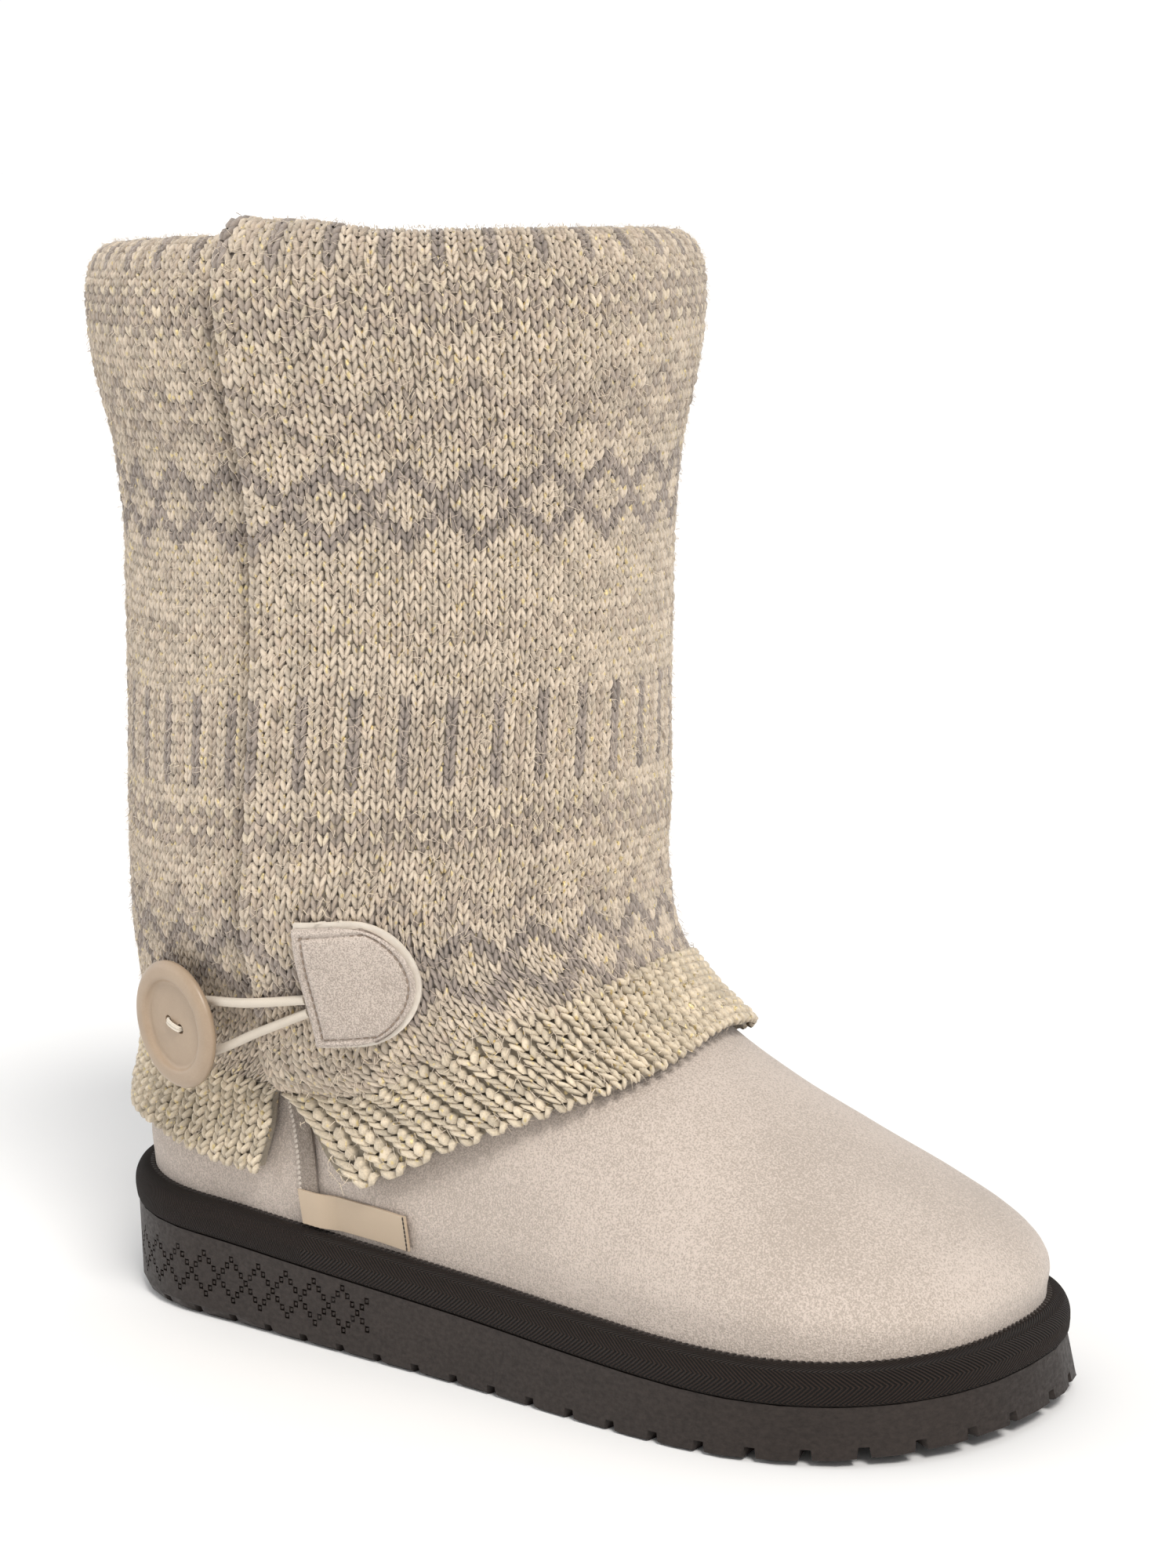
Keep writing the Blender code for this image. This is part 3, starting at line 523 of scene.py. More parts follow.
def upper_point(around, level):
    """Points of the upper's outer face. Level counts the sections up from the sole."""
    around, level = np.broadcast_arrays(np.asarray(around, float), np.asarray(level, float))
    plan = outline(around, BINDING_WIDE + GAP)
    first = UPPER_ROWS[0]
    foot_along = (plan[..., 0] - first[1]) / (first[3] - first[1])
    foot_side = plan[..., 1] / np.where(plan[..., 1] < 0, first[5], first[6])
    values = [curve(UPPER_ROWS, column, level) for column in range(1, 8)]
    back, back_height, front, front_height, outer, inner, rounded = values
    turn = oval_turn(around, back, front, level)
    along = mix(foot_along, (1 - np.cos(turn)) / 2, rounded)
    side = mix(foot_side, -np.sin(turn), rounded)
    wide = np.where(side < 0, outer, inner)
    risen = np.maximum(level - SHAFT_LEVEL, 0) / (TOP_LEVEL - SHAFT_LEVEL)
    dip = COLLAR_DIP * risen * (1 + np.cos(2 * np.pi * (around - DIP_PLACE))) / 2
    return placed(mix(back, front, along), side * wide, mix(back_height, front_height, along) - dip)


def unit(vectors):
    return vectors / np.maximum(np.linalg.norm(vectors, axis=-1), 1e-12)[..., None]


def upper_normal(around, level):
    ahead = upper_point(around + 0.004, level) - upper_point(around - 0.004, level)
    low = np.maximum(level - 0.05, 0.0)
    high = np.minimum(level + 0.05, TOP_LEVEL)
    return unit(np.cross(ahead, upper_point(around, high) - upper_point(around, low)))


def off_upper(around, level, stand):
    stand = np.asarray(stand, float)[..., None]
    return upper_point(around, level) + upper_normal(around, level) * stand


def level_at(around, height):
    """Levels at which the upper reaches heights, by halving."""
    around, height = np.broadcast_arrays(np.asarray(around, float), np.asarray(height, float))
    low = np.zeros(around.shape)
    high = np.full(around.shape, TOP_LEVEL)
    for _ in range(24):
        middle = (low + high) / 2
        under = upper_point(around, middle)[..., 2] < height
        low = np.where(under, middle, low)
        high = np.where(under, high, middle)
    return (low + high) / 2


def rim_level(around):
    """Level just clear of the platform's rim."""
    return level_at(around, upper_point(around, 1.0)[..., 2] + 2 * GAP)


def around_step(around, level, distance):
    """How far round a distance on the upper reaches."""
    ahead = upper_point(around + 0.002, level) - upper_point(around - 0.002, level)
    return distance * 0.004 / np.linalg.norm(ahead, axis=-1)


def cuff_edges(height):
    share = height / COLLAR_HEIGHT
    return curve(SLIT_SECTIONS, 1, share), 1 + curve(SLIT_SECTIONS, 2, share)


def lap(around, height):
    """How far the front panel is lifted where it laps over the rear one."""
    start, end = cuff_edges(height)
    under = np.maximum(end - 1 - start, 0.0)
    there = ease(under / LAP_START)
    return (KNIT_THICK + LAP_CLEAR) * there * (1 - ease((around - start - under) / LAP_FADE))


def cuff_stand(around, height):
    """Distance of the cuff's inner face from the shaft."""
    drop = (COLLAR_HEIGHT - height) / (COLLAR_HEIGHT - HEM_LOW * COLLAR_HEIGHT)
    over_strip = GAP + STRIP_THICK + GAP
    return over_strip + curve(CUFF_SECTIONS, 1, drop) * KNIT_THICK + lap(around, height)


def on_cuff(around, height, stand):
    """Points off the cuff's outer face."""
    reach = cuff_stand(around, height) + KNIT_THICK + stand
    return off_upper(around, level_at(around, height), reach)


def cuff_inside(share, rise):
    """Points of the cuff's inner face from the front panel's rear edge round to the rear panel's edge."""
    height = np.full(share.shape, COLLAR_HEIGHT)
    start, end = cuff_edges(height)
    around = mix(start, end, share)
    inside = -(UPPER_WALL + 2 * GAP) - lap(around, height)
    turn_height = mix(COLLAR_HEIGHT - TURN_DEEP, COLLAR_HEIGHT, np.clip(rise / TURN_SHARE, 0, 1))
    turned = off_upper(around, level_at(around, turn_height), inside)
    angle = np.pi * np.clip((rise - TURN_SHARE) / (FOLD_SHARE - TURN_SHARE), 0, 1)
    outside = cuff_stand(around, height)
    reach = (outside - inside) / 2
    over = (inside + outside) / 2 - reach * np.cos(angle)
    folded = off_upper(around, np.full(share.shape, TOP_LEVEL), over)
    folded[..., 2] += GAP + reach * FOLD_RISE * np.sin(angle)
    down = np.clip((rise - FOLD_SHARE) / (1 - FOLD_SHARE), 0, 1)
    outer_around = around
    for _ in range(4):
        height = mix(COLLAR_HEIGHT, curve(HEM_SECTIONS, 1, outer_around % 1.0) * COLLAR_HEIGHT, down)
        start, end = cuff_edges(height)
        outer_around = mix(start, end, share)
    hanging = off_upper(outer_around, level_at(outer_around, height), cuff_stand(outer_around, height))
    points = np.where((rise <= TURN_SHARE)[..., None], turned, folded)
    return np.where((rise >= FOLD_SHARE)[..., None], hanging, points)


def cuff_face():
    """A fine grid over the cuff's visible face: points, normals and the two directions of the sheet."""
    turn = np.linspace(0, TURN_SHARE, 20)
    fold = np.linspace(TURN_SHARE, FOLD_SHARE, 25)
    hang = np.linspace(FOLD_SHARE, 1, 150)
    rise = np.unique(np.concatenate([turn, fold, hang]))
    share = np.linspace(0, 1, 300)
    grid_share, grid_rise = np.meshgrid(share, rise)
    inside = cuff_inside(grid_share, grid_rise)
    near = np.flatnonzero(np.abs(rise - FOLD_SHARE) < SMOOTH_REACH)
    for _ in range(SMOOTH_PASSES):
        inside[near] = inside[near] / 2 + (inside[near - 1] + inside[near + 1]) / 4
    across = unit(np.gradient(inside, axis=1))
    down = unit(np.gradient(inside, axis=0))
    normal = unit(np.cross(down, across))
    return rise, inside + normal * KNIT_THICK, normal, across, unit(np.cross(across, normal))


CUFF_RISE, CUFF_POINTS, CUFF_NORMALS, CUFF_ACROSS, CUFF_DOWN = cuff_face()


def sampled(grid, share, rise):
    """Values of a grid over the cuff, between its points."""
    column = np.clip(share, 0, 1) * (grid.shape[1] - 1)
    row = np.interp(rise, CUFF_RISE, np.arange(len(CUFF_RISE)))
    left = np.clip(column.astype(int), 0, grid.shape[1] - 2)
    low = np.clip(row.astype(int), 0, grid.shape[0] - 2)
    across = (column - left)[..., None]
    up = (row - low)[..., None]
    first = mix(grid[low, left], grid[low, left + 1], across)
    second = mix(grid[low + 1, left], grid[low + 1, left + 1], across)
    return mix(first, second, up)


def knit_point(share, rise, stand):
    """Points over the cuff's visible face; beyond an edge they wrap round it."""
    beyond = np.maximum(EDGE_SHARE - share, 0) - np.maximum(share - 1 + EDGE_SHARE, 0)
    side_turn = np.clip(beyond * CUFF_WIDTH / EDGE_RADIUS, -np.pi, np.pi)
    below = np.maximum(rise - 1, 0) / (1 - FOLD_SHARE) * CUFF_DROP
    hem_turn = np.clip(below / EDGE_RADIUS, 0, np.pi)
    face_share = np.clip(share, EDGE_SHARE, 1 - EDGE_SHARE)
    face_rise = np.minimum(rise, 1)
    point = sampled(CUFF_POINTS, face_share, face_rise)
    grids = (CUFF_NORMALS, CUFF_ACROSS, CUFF_DOWN)
    normal, across, down = [unit(sampled(grid, face_share, face_rise)) for grid in grids]
    rolled = EDGE_ROLL * bell(share * CUFF_WIDTH, EDGE_ROLL_WIDE) * (rise > TURN_SHARE)
    beside = bell((share - VALLEY_PLACE) * CUFF_WIDTH, VALLEY_WIDE)
    high = 1 - ease((rise - VALLEY_END) / VALLEY_FADE)
    valley = VALLEY_DEEP * beside * high * ease((rise - FOLD_SHARE + VALLEY_START) / VALLEY_START)
    reach = (EDGE_RADIUS + stand + rolled - valley)[..., None]
    side_turn = side_turn[..., None]
    hem_turn = hem_turn[..., None]
    out = normal * np.cos(side_turn) * np.cos(hem_turn)
    out = out - across * np.sin(side_turn) + down * np.sin(hem_turn) * np.cos(side_turn)
    return point - normal * EDGE_RADIUS + out * reach


# Modelling tools


def clear_selection():
    if bpy.context.object and bpy.context.object.mode != "OBJECT":
        bpy.ops.object.mode_set(mode="OBJECT")
    bpy.ops.object.select_all(action="DESELECT")


def renamed(piece, name):
    piece.name = name
    piece.data.name = name
    return piece


def added(name):
    """The primitive that was just added, under its own name."""
    return renamed(bpy.context.object, name)


def in_scene(name, data):
    """A new object of the scene for a mesh, a curve, a camera or a light."""
    made = bpy.data.objects.new(name, data)
    bpy.context.scene.collection.objects.link(made)
    return made


def coordinates(piece):
    values = np.empty(len(piece.data.vertices) * 3)
    piece.data.vertices.foreach_get("co", values)
    return values.reshape(-1, 3)


def set_coordinates(piece, points):
    piece.data.vertices.foreach_set("co", np.asarray(points, float).ravel())
    piece.data.update()


def select_only(piece):
    clear_selection()
    piece.select_set(True)
    bpy.context.view_layer.objects.active = piece


def apply_modifiers(piece):
    select_only(piece)
    for modifier in list(piece.modifiers):
        bpy.ops.object.modifier_apply(modifier=modifier.name)


def edit(piece, *steps):
    """Runs edit-mode steps on all of a piece."""
    select_only(piece)
    bpy.ops.object.mode_set(mode="EDIT")
    bpy.ops.mesh.select_all(action="SELECT")
    for step in steps:
        step()
    bpy.ops.object.mode_set(mode="OBJECT")


def merge_doubles():
    bpy.ops.mesh.remove_doubles(threshold=0.00001)


def flip_faces():
    bpy.ops.mesh.flip_normals()


def face_outward():
    bpy.ops.mesh.normals_make_consistent(inside=False)


def grid_sheet(name, across, up, point, flip=False):
    """A grid primitive whose points are moved onto the boot by a function of two shares."""
    clear_selection()
    bpy.ops.mesh.primitive_grid_add(x_subdivisions=across, y_subdivisions=up, size=1)
    sheet = added(name)
    flat = coordinates(sheet)
    set_coordinates(sheet, point(flat[:, 0] + 0.5, flat[:, 1] + 0.5))
    edit(sheet, merge_doubles)
    if flip:
        edit(sheet, flip_faces)
    return sheet


def thicken(piece, thickness, offset, inner_slot=0, even=True):
    wall = piece.modifiers.new("wall", "SOLIDIFY")
    wall.thickness = thickness
    wall.offset = offset
    wall.use_even_offset = even
    wall.material_offset = inner_slot
    apply_modifiers(piece)


def arrayed(piece, count, step):
    """Gives a piece copies one step apart, for apply_modifiers to make real."""
    array = piece.modifiers.new("copies", "ARRAY")
    array.count = count
    array.use_relative_offset = False
    array.use_constant_offset = True
    array.constant_offset_displace = step


def cut_away(piece, cutter, solver):
    """Cuts one closed piece out of another and removes the cutter."""
    cut = piece.modifiers.new("cut", "BOOLEAN")
    cut.operation = "DIFFERENCE"
    cut.solver = solver
    cut.object = cutter
    apply_modifiers(piece)
    bpy.data.objects.remove(cutter, do_unlink=True)


def smooth_shade(piece, angle=50):
    select_only(piece)
    bpy.ops.object.shade_smooth_by_angle(angle=math.radians(angle))


def finished(piece, finish, replaces=()):
    """Gives a piece its material, the body that it rides on and the nodes that it stands for."""
    if finish is not None:
        piece.data.materials.clear()
        for each in finish if isinstance(finish, (list, tuple)) else (finish,):
            piece.data.materials.append(each)
    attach(piece, "root")
    if replaces:
        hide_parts(*replaces)
    return piece


def joined(pieces, name):
    clear_selection()
    for piece in pieces:
        piece.select_set(True)
    bpy.context.view_layer.objects.active = pieces[0]
    bpy.ops.object.join()
    return added(name)


def copies_along(piece, name, places):
    """Copies of one small piece, each set at a place with its own directions, joined into one."""
    model = coordinates(piece)
    arrayed(piece, len(places), (1, 0, 0))
    apply_modifiers(piece)
    points = [place + model @ np.stack(directions) for place, *directions in places]
    set_coordinates(piece, np.concatenate(points))
    return renamed(piece, name)


def bead(long, wide, high, segments=8, rings=5):
    """A small rounded stitch that lies along X."""
    clear_selection()
    bpy.ops.mesh.primitive_uv_sphere_add(segments=segments, ring_count=rings, radius=0.5)
    piece = added("bead")
    points = coordinates(piece)[:, [2, 0, 1]]
    set_coordinates(piece, points * (long, wide, high))
    edit(piece, face_outward)
    return piece


# Materials. Scales count features in a metre, and a ramp's stops are a share and a linear colour.


def new_finish(name, roughness=0.8, sheen=0.0):
    made = bpy.data.materials.new(name)
    made.use_nodes = True
    shader = made.node_tree.nodes["Principled BSDF"]
    shader.inputs["Roughness"].default_value = roughness
    shader.inputs["Sheen Weight"].default_value = sheen
    shader.inputs["Sheen Roughness"].default_value = 0.5
    return made, made.node_tree, shader


def joins(tree, source, target):
    tree.links.new(source, target)


def object_place(tree):
    return tree.nodes.new("ShaderNodeTexCoord").outputs["Object"]


def uv_place(tree):
    return tree.nodes.new("ShaderNodeTexCoord").outputs["UV"]


def stretched(tree, place, scale, turn=(0, 0, 0)):
    mapping = tree.nodes.new("ShaderNodeMapping")
    mapping.inputs["Scale"].default_value = scale
    mapping.inputs["Rotation"].default_value = turn
    joins(tree, place, mapping.inputs["Vector"])
    return mapping.outputs["Vector"]


def noise(tree, place, scale, detail=3.0, roughness=0.55):
    node = tree.nodes.new("ShaderNodeTexNoise")
    node.inputs["Scale"].default_value = scale
    node.inputs["Detail"].default_value = detail
    node.inputs["Roughness"].default_value = roughness
    joins(tree, place, node.inputs["Vector"])
    return node.outputs["Fac"]


def cells(tree, place, scale, feature="F1"):
    node = tree.nodes.new("ShaderNodeTexVoronoi")
    node.feature = feature
    node.inputs["Scale"].default_value = scale
    joins(tree, place, node.inputs["Vector"])
    return node


def waves(tree, place, scale, distortion=0.0):
    node = tree.nodes.new("ShaderNodeTexWave")
    node.inputs["Scale"].default_value = scale
    node.inputs["Distortion"].default_value = distortion
    joins(tree, place, node.inputs["Vector"])
    return node.outputs["Fac"]


def maths(tree, operation, first, second=None):
    node = tree.nodes.new("ShaderNodeMath")
    node.operation = operation
    for index, value in enumerate((first, second)):
        if value is None:
            continue
        if isinstance(value, (int, float)):
            node.inputs[index].default_value = value
        else:
            joins(tree, value, node.inputs[index])
    return node.outputs["Value"]


def weighted(tree, *parts):
    """Sum of values, each times its weight."""
    values = [maths(tree, "MULTIPLY", value, weight) for value, weight in parts]
    total = values[0]
    for value in values[1:]:
        total = maths(tree, "ADD", total, value)
    return total


def levels(tree, value, low, high, to_low=0.0, to_high=1.0):
    node = tree.nodes.new("ShaderNodeMapRange")
    node.inputs["From Min"].default_value = low
    node.inputs["From Max"].default_value = high
    node.inputs["To Min"].default_value = to_low
    node.inputs["To Max"].default_value = to_high
    joins(tree, value, node.inputs["Value"])
    return node.outputs["Result"]


def ramp(tree, value, stops):
    node = tree.nodes.new("ShaderNodeValToRGB")
    elements = node.color_ramp.elements
    while len(elements) < len(stops):
        elements.new(0.5)
    for element, (place, colour) in zip(elements, stops):
        element.position = place
        element.color = (*colour, 1)
    joins(tree, value, node.inputs["Fac"])
    return node.outputs["Color"]


def coloured(tree, shader, value, *stops):
    joins(tree, ramp(tree, value, stops), shader.inputs["Base Color"])


def channels(tree, colour):
    parts = tree.nodes.new("ShaderNodeSeparateColor")
    joins(tree, colour, parts.inputs["Color"])
    return parts.outputs


def blended(tree, share, first, second, kind="MIX"):
    node = tree.nodes.new("ShaderNodeMix")
    node.data_type = "RGBA"
    node.blend_type = kind
    for name, value in (("Factor", share), ("A", first), ("B", second)):
        sockets = [socket for socket in node.inputs if socket.name == name and socket.enabled]
        if isinstance(value, (int, float)):
            sockets[0].default_value = value
        elif isinstance(value, tuple):
            sockets[0].default_value = (*value, 1)
        else:
            joins(tree, value, sockets[0])
    return [socket for socket in node.outputs if socket.enabled][0]


def bumped(tree, shader, height, strength, distance):
    node = tree.nodes.new("ShaderNodeBump")
    node.inputs["Strength"].default_value = strength
    node.inputs["Distance"].default_value = distance
    joins(tree, height, node.inputs["Height"])
    joins(tree, node.outputs["Normal"], shader.inputs["Normal"])


def new_group(name, grain):
    """A shader node group that turns a place and a grain's scale into a shade and a height."""
    group = bpy.data.node_groups.new(name, "ShaderNodeTree")
    group.interface.new_socket("Place", in_out="INPUT", socket_type="NodeSocketVector")
    group.interface.new_socket("Grain", in_out="INPUT", socket_type="NodeSocketFloat").default_value = grain
    for label in ("Shade", "Height"):
        group.interface.new_socket(label, in_out="OUTPUT", socket_type="NodeSocketFloat")
    start = group.nodes.new("NodeGroupInput")
    end = group.nodes.new("NodeGroupOutput")
    return group, start.outputs, end.inputs


def nap_group():
    """Short brushed nap: fine speckle, soft brushed patches and a height."""
    group, start, end = new_group("short_nap", 2200.0)
    fine = noise(group, start["Place"], 1.0, 2.0, 0.7)
    joins(group, start["Grain"], fine.node.inputs["Scale"])
    brushed = noise(group, start["Place"], 28.0, 3.0, 0.5)
    streaks = noise(group, stretched(group, start["Place"], (1500, 1500, 600)), 1.0, 2.0, 0.6)
    joins(group, weighted(group, (fine, 0.62), (brushed, 0.18), (streaks, 0.20)), end["Shade"])
    joins(group, weighted(group, (fine, 1.0), (streaks, 0.6)), end["Height"])
    return group


def with_group(tree, group, place, **values):
    node = tree.nodes.new("ShaderNodeGroup")
    node.node_tree = group
    joins(tree, place, node.inputs["Place"])
    for name, value in values.items():
        node.inputs[name].default_value = value
    return node.outputs


def fuzz_group():
    """Loose fibres of yarn and fleece."""
    group, start, end = new_group("loose_fibres", 1500.0)
    fine = noise(group, start["Place"], 1.0, 4.0, 0.75)
    joins(group, start["Grain"], fine.node.inputs["Scale"])
    soft = noise(group, start["Place"], 240.0, 3.0, 0.6)
    joins(group, weighted(group, (fine, 0.6), (soft, 0.4)), end["Shade"])
    joins(group, fine, end["Height"])
    return group


NAP = nap_group()
FIBRES = fuzz_group()


def suede_finish(name, light, dark, grain=2200.0):
    made, tree, shader = new_finish(name, 0.92, 0.25)
    nap = with_group(tree, NAP, object_place(tree), Grain=grain)
    coloured(tree, shader, nap["Shade"], (0.45, dark), (0.55, light))
    bumped(tree, shader, nap["Height"], 0.7, 0.0005)
    return made


def fleece_finish():
    made, tree, shader = new_finish("lining_fleece", 0.95, 0.35)
    place = object_place(tree)
    fibres = with_group(tree, FIBRES, place, Grain=900.0)
    curls = cells(tree, place, 420.0).outputs["Distance"]
    tone = weighted(tree, (fibres["Shade"], 0.6), (curls, 0.5))
    coloured(tree, shader, tone, (0.2, (0.42, 0.37, 0.30)), (0.7, (0.72, 0.67, 0.58)))
    bumped(tree, shader, tone, 0.8, 0.0012)
    return made


YARN_COLOURS = (
    # share, colour
    (0.00, (0.760, 0.640, 0.505)),
    (0.25, (0.830, 0.705, 0.530)),
    (0.50, (0.630, 0.515, 0.405)),
    (1.00, (0.425, 0.355, 0.305)),
)


def yarn_finish(name, dark):
    """Soft yarn in the colours of the chart, with short bright glints of metal thread in the light yarn."""
    made, tree, shader = new_finish(name, 0.9, 0.3)
    chart = tree.nodes.new("ShaderNodeAttribute")
    chart.attribute_name = "yarn"
    stored = channels(tree, chart.outputs["Color"])
    base = ramp(tree, stored["Red"], YARN_COLOURS)
    place = object_place(tree)
    fibres = with_group(tree, FIBRES, place, Grain=1500.0)
    shade = maths(tree, "MULTIPLY", fibres["Shade"], maths(tree, "ADD", stored["Green"], 0.75))
    shade = levels(tree, shade, 0.3, 0.9, 0.55 * dark, 1.3 * dark)
    # Blue of the stored yarn is painted shade: the deeper parts of each stitch are darkened
    shade = maths(tree, "MULTIPLY", shade, stored["Blue"])
    grey = ramp(tree, shade, ((0.0, (0, 0, 0)), (1.0, (1, 1, 1))))
    tinted = blended(tree, 1.0, base, grey, "MULTIPLY")
    specks = cells(tree, stretched(tree, place, (1500, 1500, 900)), 1.0)
    lit = maths(tree, "GREATER_THAN", channels(tree, specks.outputs["Color"])["Red"], 0.955)
    light_yarn = levels(tree, stored["Red"], 0.6, 0.3)
    glint = maths(tree, "MULTIPLY", lit, light_yarn)
    joins(tree, blended(tree, glint, tinted, (0.76, 0.62, 0.34)), shader.inputs["Base Color"])
    joins(tree, glint, shader.inputs["Metallic"])
    joins(tree, levels(tree, glint, 0, 1, 0.9, 0.28), shader.inputs["Roughness"])
    bumped(tree, shader, fibres["Height"], 0.6, 0.0005)
    return made


def tape_finish():
    """Dark twill tape, its ribs turning back on each other along the middle."""
    made, tree, shader = new_finish("twill_tape", 0.85, 0.03)
    place = uv_place(tree)
    parts = tree.nodes.new("ShaderNodeSeparateXYZ")
    joins(tree, place, parts.inputs["Vector"])
    along = maths(tree, "MULTIPLY", parts.outputs["X"], 700.0)
    across = maths(tree, "MULTIPLY", parts.outputs["Y"], 24.0)
    folded = maths(tree, "PINGPONG", across, 4.2)
    ribs = maths(tree, "SINE", maths(tree, "MULTIPLY", maths(tree, "ADD", along, folded), 6.2))
    threads = noise(tree, object_place(tree), 2600.0, 2.0, 0.6)
    height = weighted(tree, (ribs, 1.0), (threads, 0.8))
    # Colour follows the ribs' height: the twill's own tone, with painted shade darkening the grooves
    tone = levels(tree, height, -1.0, 1.8)
    shader.inputs["Specular IOR Level"].default_value = 0.2
    coloured(tree, shader, tone, (0.2, (0.005, 0.0035, 0.0028)), (0.9, (0.048, 0.029, 0.021)))
    bumped(tree, shader, height, 1.0, 0.0006)
    return made


def rubber_finish():
    """Moulded rubber with a fine leather-like grain and worn, shinier high spots."""
    made, tree, shader = new_finish("moulded_rubber", 0.5)
    shader.inputs["Specular IOR Level"].default_value = 0.28
    place = object_place(tree)
    folds = noise(tree, stretched(tree, place, (1.0, 1.0, 1.6)), 620.0, 4.0, 0.62)
    pebbles = cells(tree, place, 900.0, "SMOOTH_F1").outputs["Distance"]
    height = weighted(tree, (folds, 1.0), (pebbles, 0.35))
    patches = noise(tree, place, 30.0, 3.0, 0.5)
    tone = weighted(tree, (folds, 0.75), (patches, 0.25))
    coloured(tree, shader, tone, (0.30, (0.017, 0.0125, 0.0105)), (0.70, (0.036, 0.0265, 0.0225)))
    joins(tree, levels(tree, folds, 0.35, 0.65, 0.62, 0.48), shader.inputs["Roughness"])
    bumped(tree, shader, height, 0.35, 0.0004)
    return made


def resin_finish():
    made, tree, shader = new_finish("button_resin", 0.38)
    place = object_place(tree)
    cloudy = noise(tree, place, 90.0, 4.0, 0.6)
    grains = noise(tree, place, 2600.0, 2.0, 0.6)
    tone = weighted(tree, (cloudy, 0.7), (grains, 0.3))
    coloured(tree, shader, tone, (0.3, (0.355, 0.262, 0.182)), (0.7, (0.430, 0.326, 0.232)))
    joins(tree, levels(tree, cloudy, 0.3, 0.7, 0.34, 0.46), shader.inputs["Roughness"])
    bumped(tree, shader, grains, 0.15, 0.0002)
    return made


def cord_finish(name, light, dark, pitch):
    """Round cord, its fine yarns laid round it."""
    made, tree, shader = new_finish(name, 0.7, 0.1)
    place = object_place(tree)
    wound = waves(tree, stretched(tree, place, (1, 1, 1), (0.3, 0.9, 0.2)), pitch, 1.5)
    fibres = with_group(tree, FIBRES, place, Grain=2200.0)
    tone = weighted(tree, (wound, 0.4), (fibres["Shade"], 0.6))
    coloured(tree, shader, tone, (0.2, dark), (0.7, light))
    bumped(tree, shader, tone, 0.3, 0.0002)
    return made


def satin_finish():
    """Woven satin label with fine diagonal ribs."""
    made, tree, shader = new_finish("label_satin", 0.5, 0.1)
    place = uv_place(tree)
    ribs = waves(tree, stretched(tree, place, (3.0, 1.0, 1.0), (0, 0, 0.75)), 16.0)
    yarns = noise(tree, stretched(tree, place, (60, 240, 1)), 1.0, 2.0, 0.5)
    tone = weighted(tree, (ribs, 0.45), (yarns, 0.55))
    coloured(tree, shader, tone, (0.2, (0.455, 0.35, 0.245)), (0.8, (0.60, 0.475, 0.345)))
    bumped(tree, shader, tone, 0.3, 0.0002)
    return made


def leather_finish():
    made, tree, shader = new_finish("smooth_backing", 0.55)
    place = object_place(tree)
    pores = cells(tree, place, 1800.0).outputs["Distance"]
    tone = noise(tree, place, 300.0, 3.0, 0.5)
    coloured(tree, shader, tone, (0.3, (0.68, 0.61, 0.53)), (0.7, (0.78, 0.72, 0.63)))
    bumped(tree, shader, pores, 0.2, 0.0002)
    return made


SUEDE = suede_finish("foot_suede", (0.640, 0.548, 0.482), (0.440, 0.372, 0.318))
# Seam strips' suede, darker than the foot's: partly its nap, partly painted shade of a recessed channel
STRIP_SUEDE_NAP_AND_SHADE = suede_finish("strip_suede", (0.330, 0.275, 0.230), (0.210, 0.170, 0.138))
TAB_SUEDE = suede_finish("tab_suede", (0.650, 0.560, 0.492), (0.400, 0.335, 0.286), 2600.0)
FLEECE = fleece_finish()
YARN = yarn_finish("jacquard_yarn", 1.08)
# Yarn of the ground sheet, darkened to painted shade for the gaps between stitches
GROUND_PAINTED_SHADE = yarn_finish("yarn_ground_painted_shade", 0.44)
HAIR = yarn_finish("loose_yarn", 1.25)
TAPE = tape_finish()
RUBBER = rubber_finish()
RESIN = resin_finish()
ELASTIC = cord_finish("elastic_cord", (0.72, 0.65, 0.55), (0.58, 0.50, 0.41), 900.0)
COTTON = cord_finish("sewing_thread", (0.78, 0.72, 0.62), (0.60, 0.52, 0.42), 1600.0)
SEAM_THREAD = cord_finish("seam_thread", (0.34, 0.265, 0.205), (0.22, 0.165, 0.125), 1600.0)
PIPING = cord_finish("piping_yarn", (0.66, 0.59, 0.52), (0.48, 0.41, 0.35), 1200.0)
DARK_THREAD = cord_finish("dark_thread", (0.045, 0.032, 0.026), (0.012, 0.009, 0.008), 1600.0)
SATIN = satin_finish()
BACKING = leather_finish()


# Foot and shaft

SOFT_DENTS = (
    # around, level, reach around, reach level, depth
    (0.305, 3.2, 0.030, 1.6, 0.0007),
    (0.385, 4.6, 0.050, 1.0, 0.0009),
    (0.455, 3.4, 0.030, 0.8, 0.0005),
    (0.560, 4.0, 0.045, 1.0, 0.0008),
    (0.690, 3.4, 0.040, 1.4, 0.0007),
    (0.150, 3.0, 0.045, 1.3, 0.0006),
    (0.900, 3.2, 0.040, 1.5, 0.0006),
)


def soft_dents(around, level):
    """Depth of the shallow hollows that the empty foot has."""
    depth = np.zeros(around.shape)
    for place, high, wide, tall, deep in SOFT_DENTS:
        depth += deep * np.exp(-(((around - place) / wide) ** 2) - ((level - high) / tall) ** 2)
    return depth


def foot_and_shaft():
    """Suede upper, hollow and lined with fleece."""

    def on_upper(share, rise):
        level = TOP_LEVEL * rise
        return off_upper(share, level, -soft_dents(share, level))

    upper = grid_sheet("foot_and_shaft", 184, 92, on_upper)
    upper.data.materials.append(SUEDE)
    upper.data.materials.append(FLEECE)
    thicken(upper, UPPER_WALL, -1, 1)
    smooth_shade(upper)
    return finished(upper, None, ("upper",))


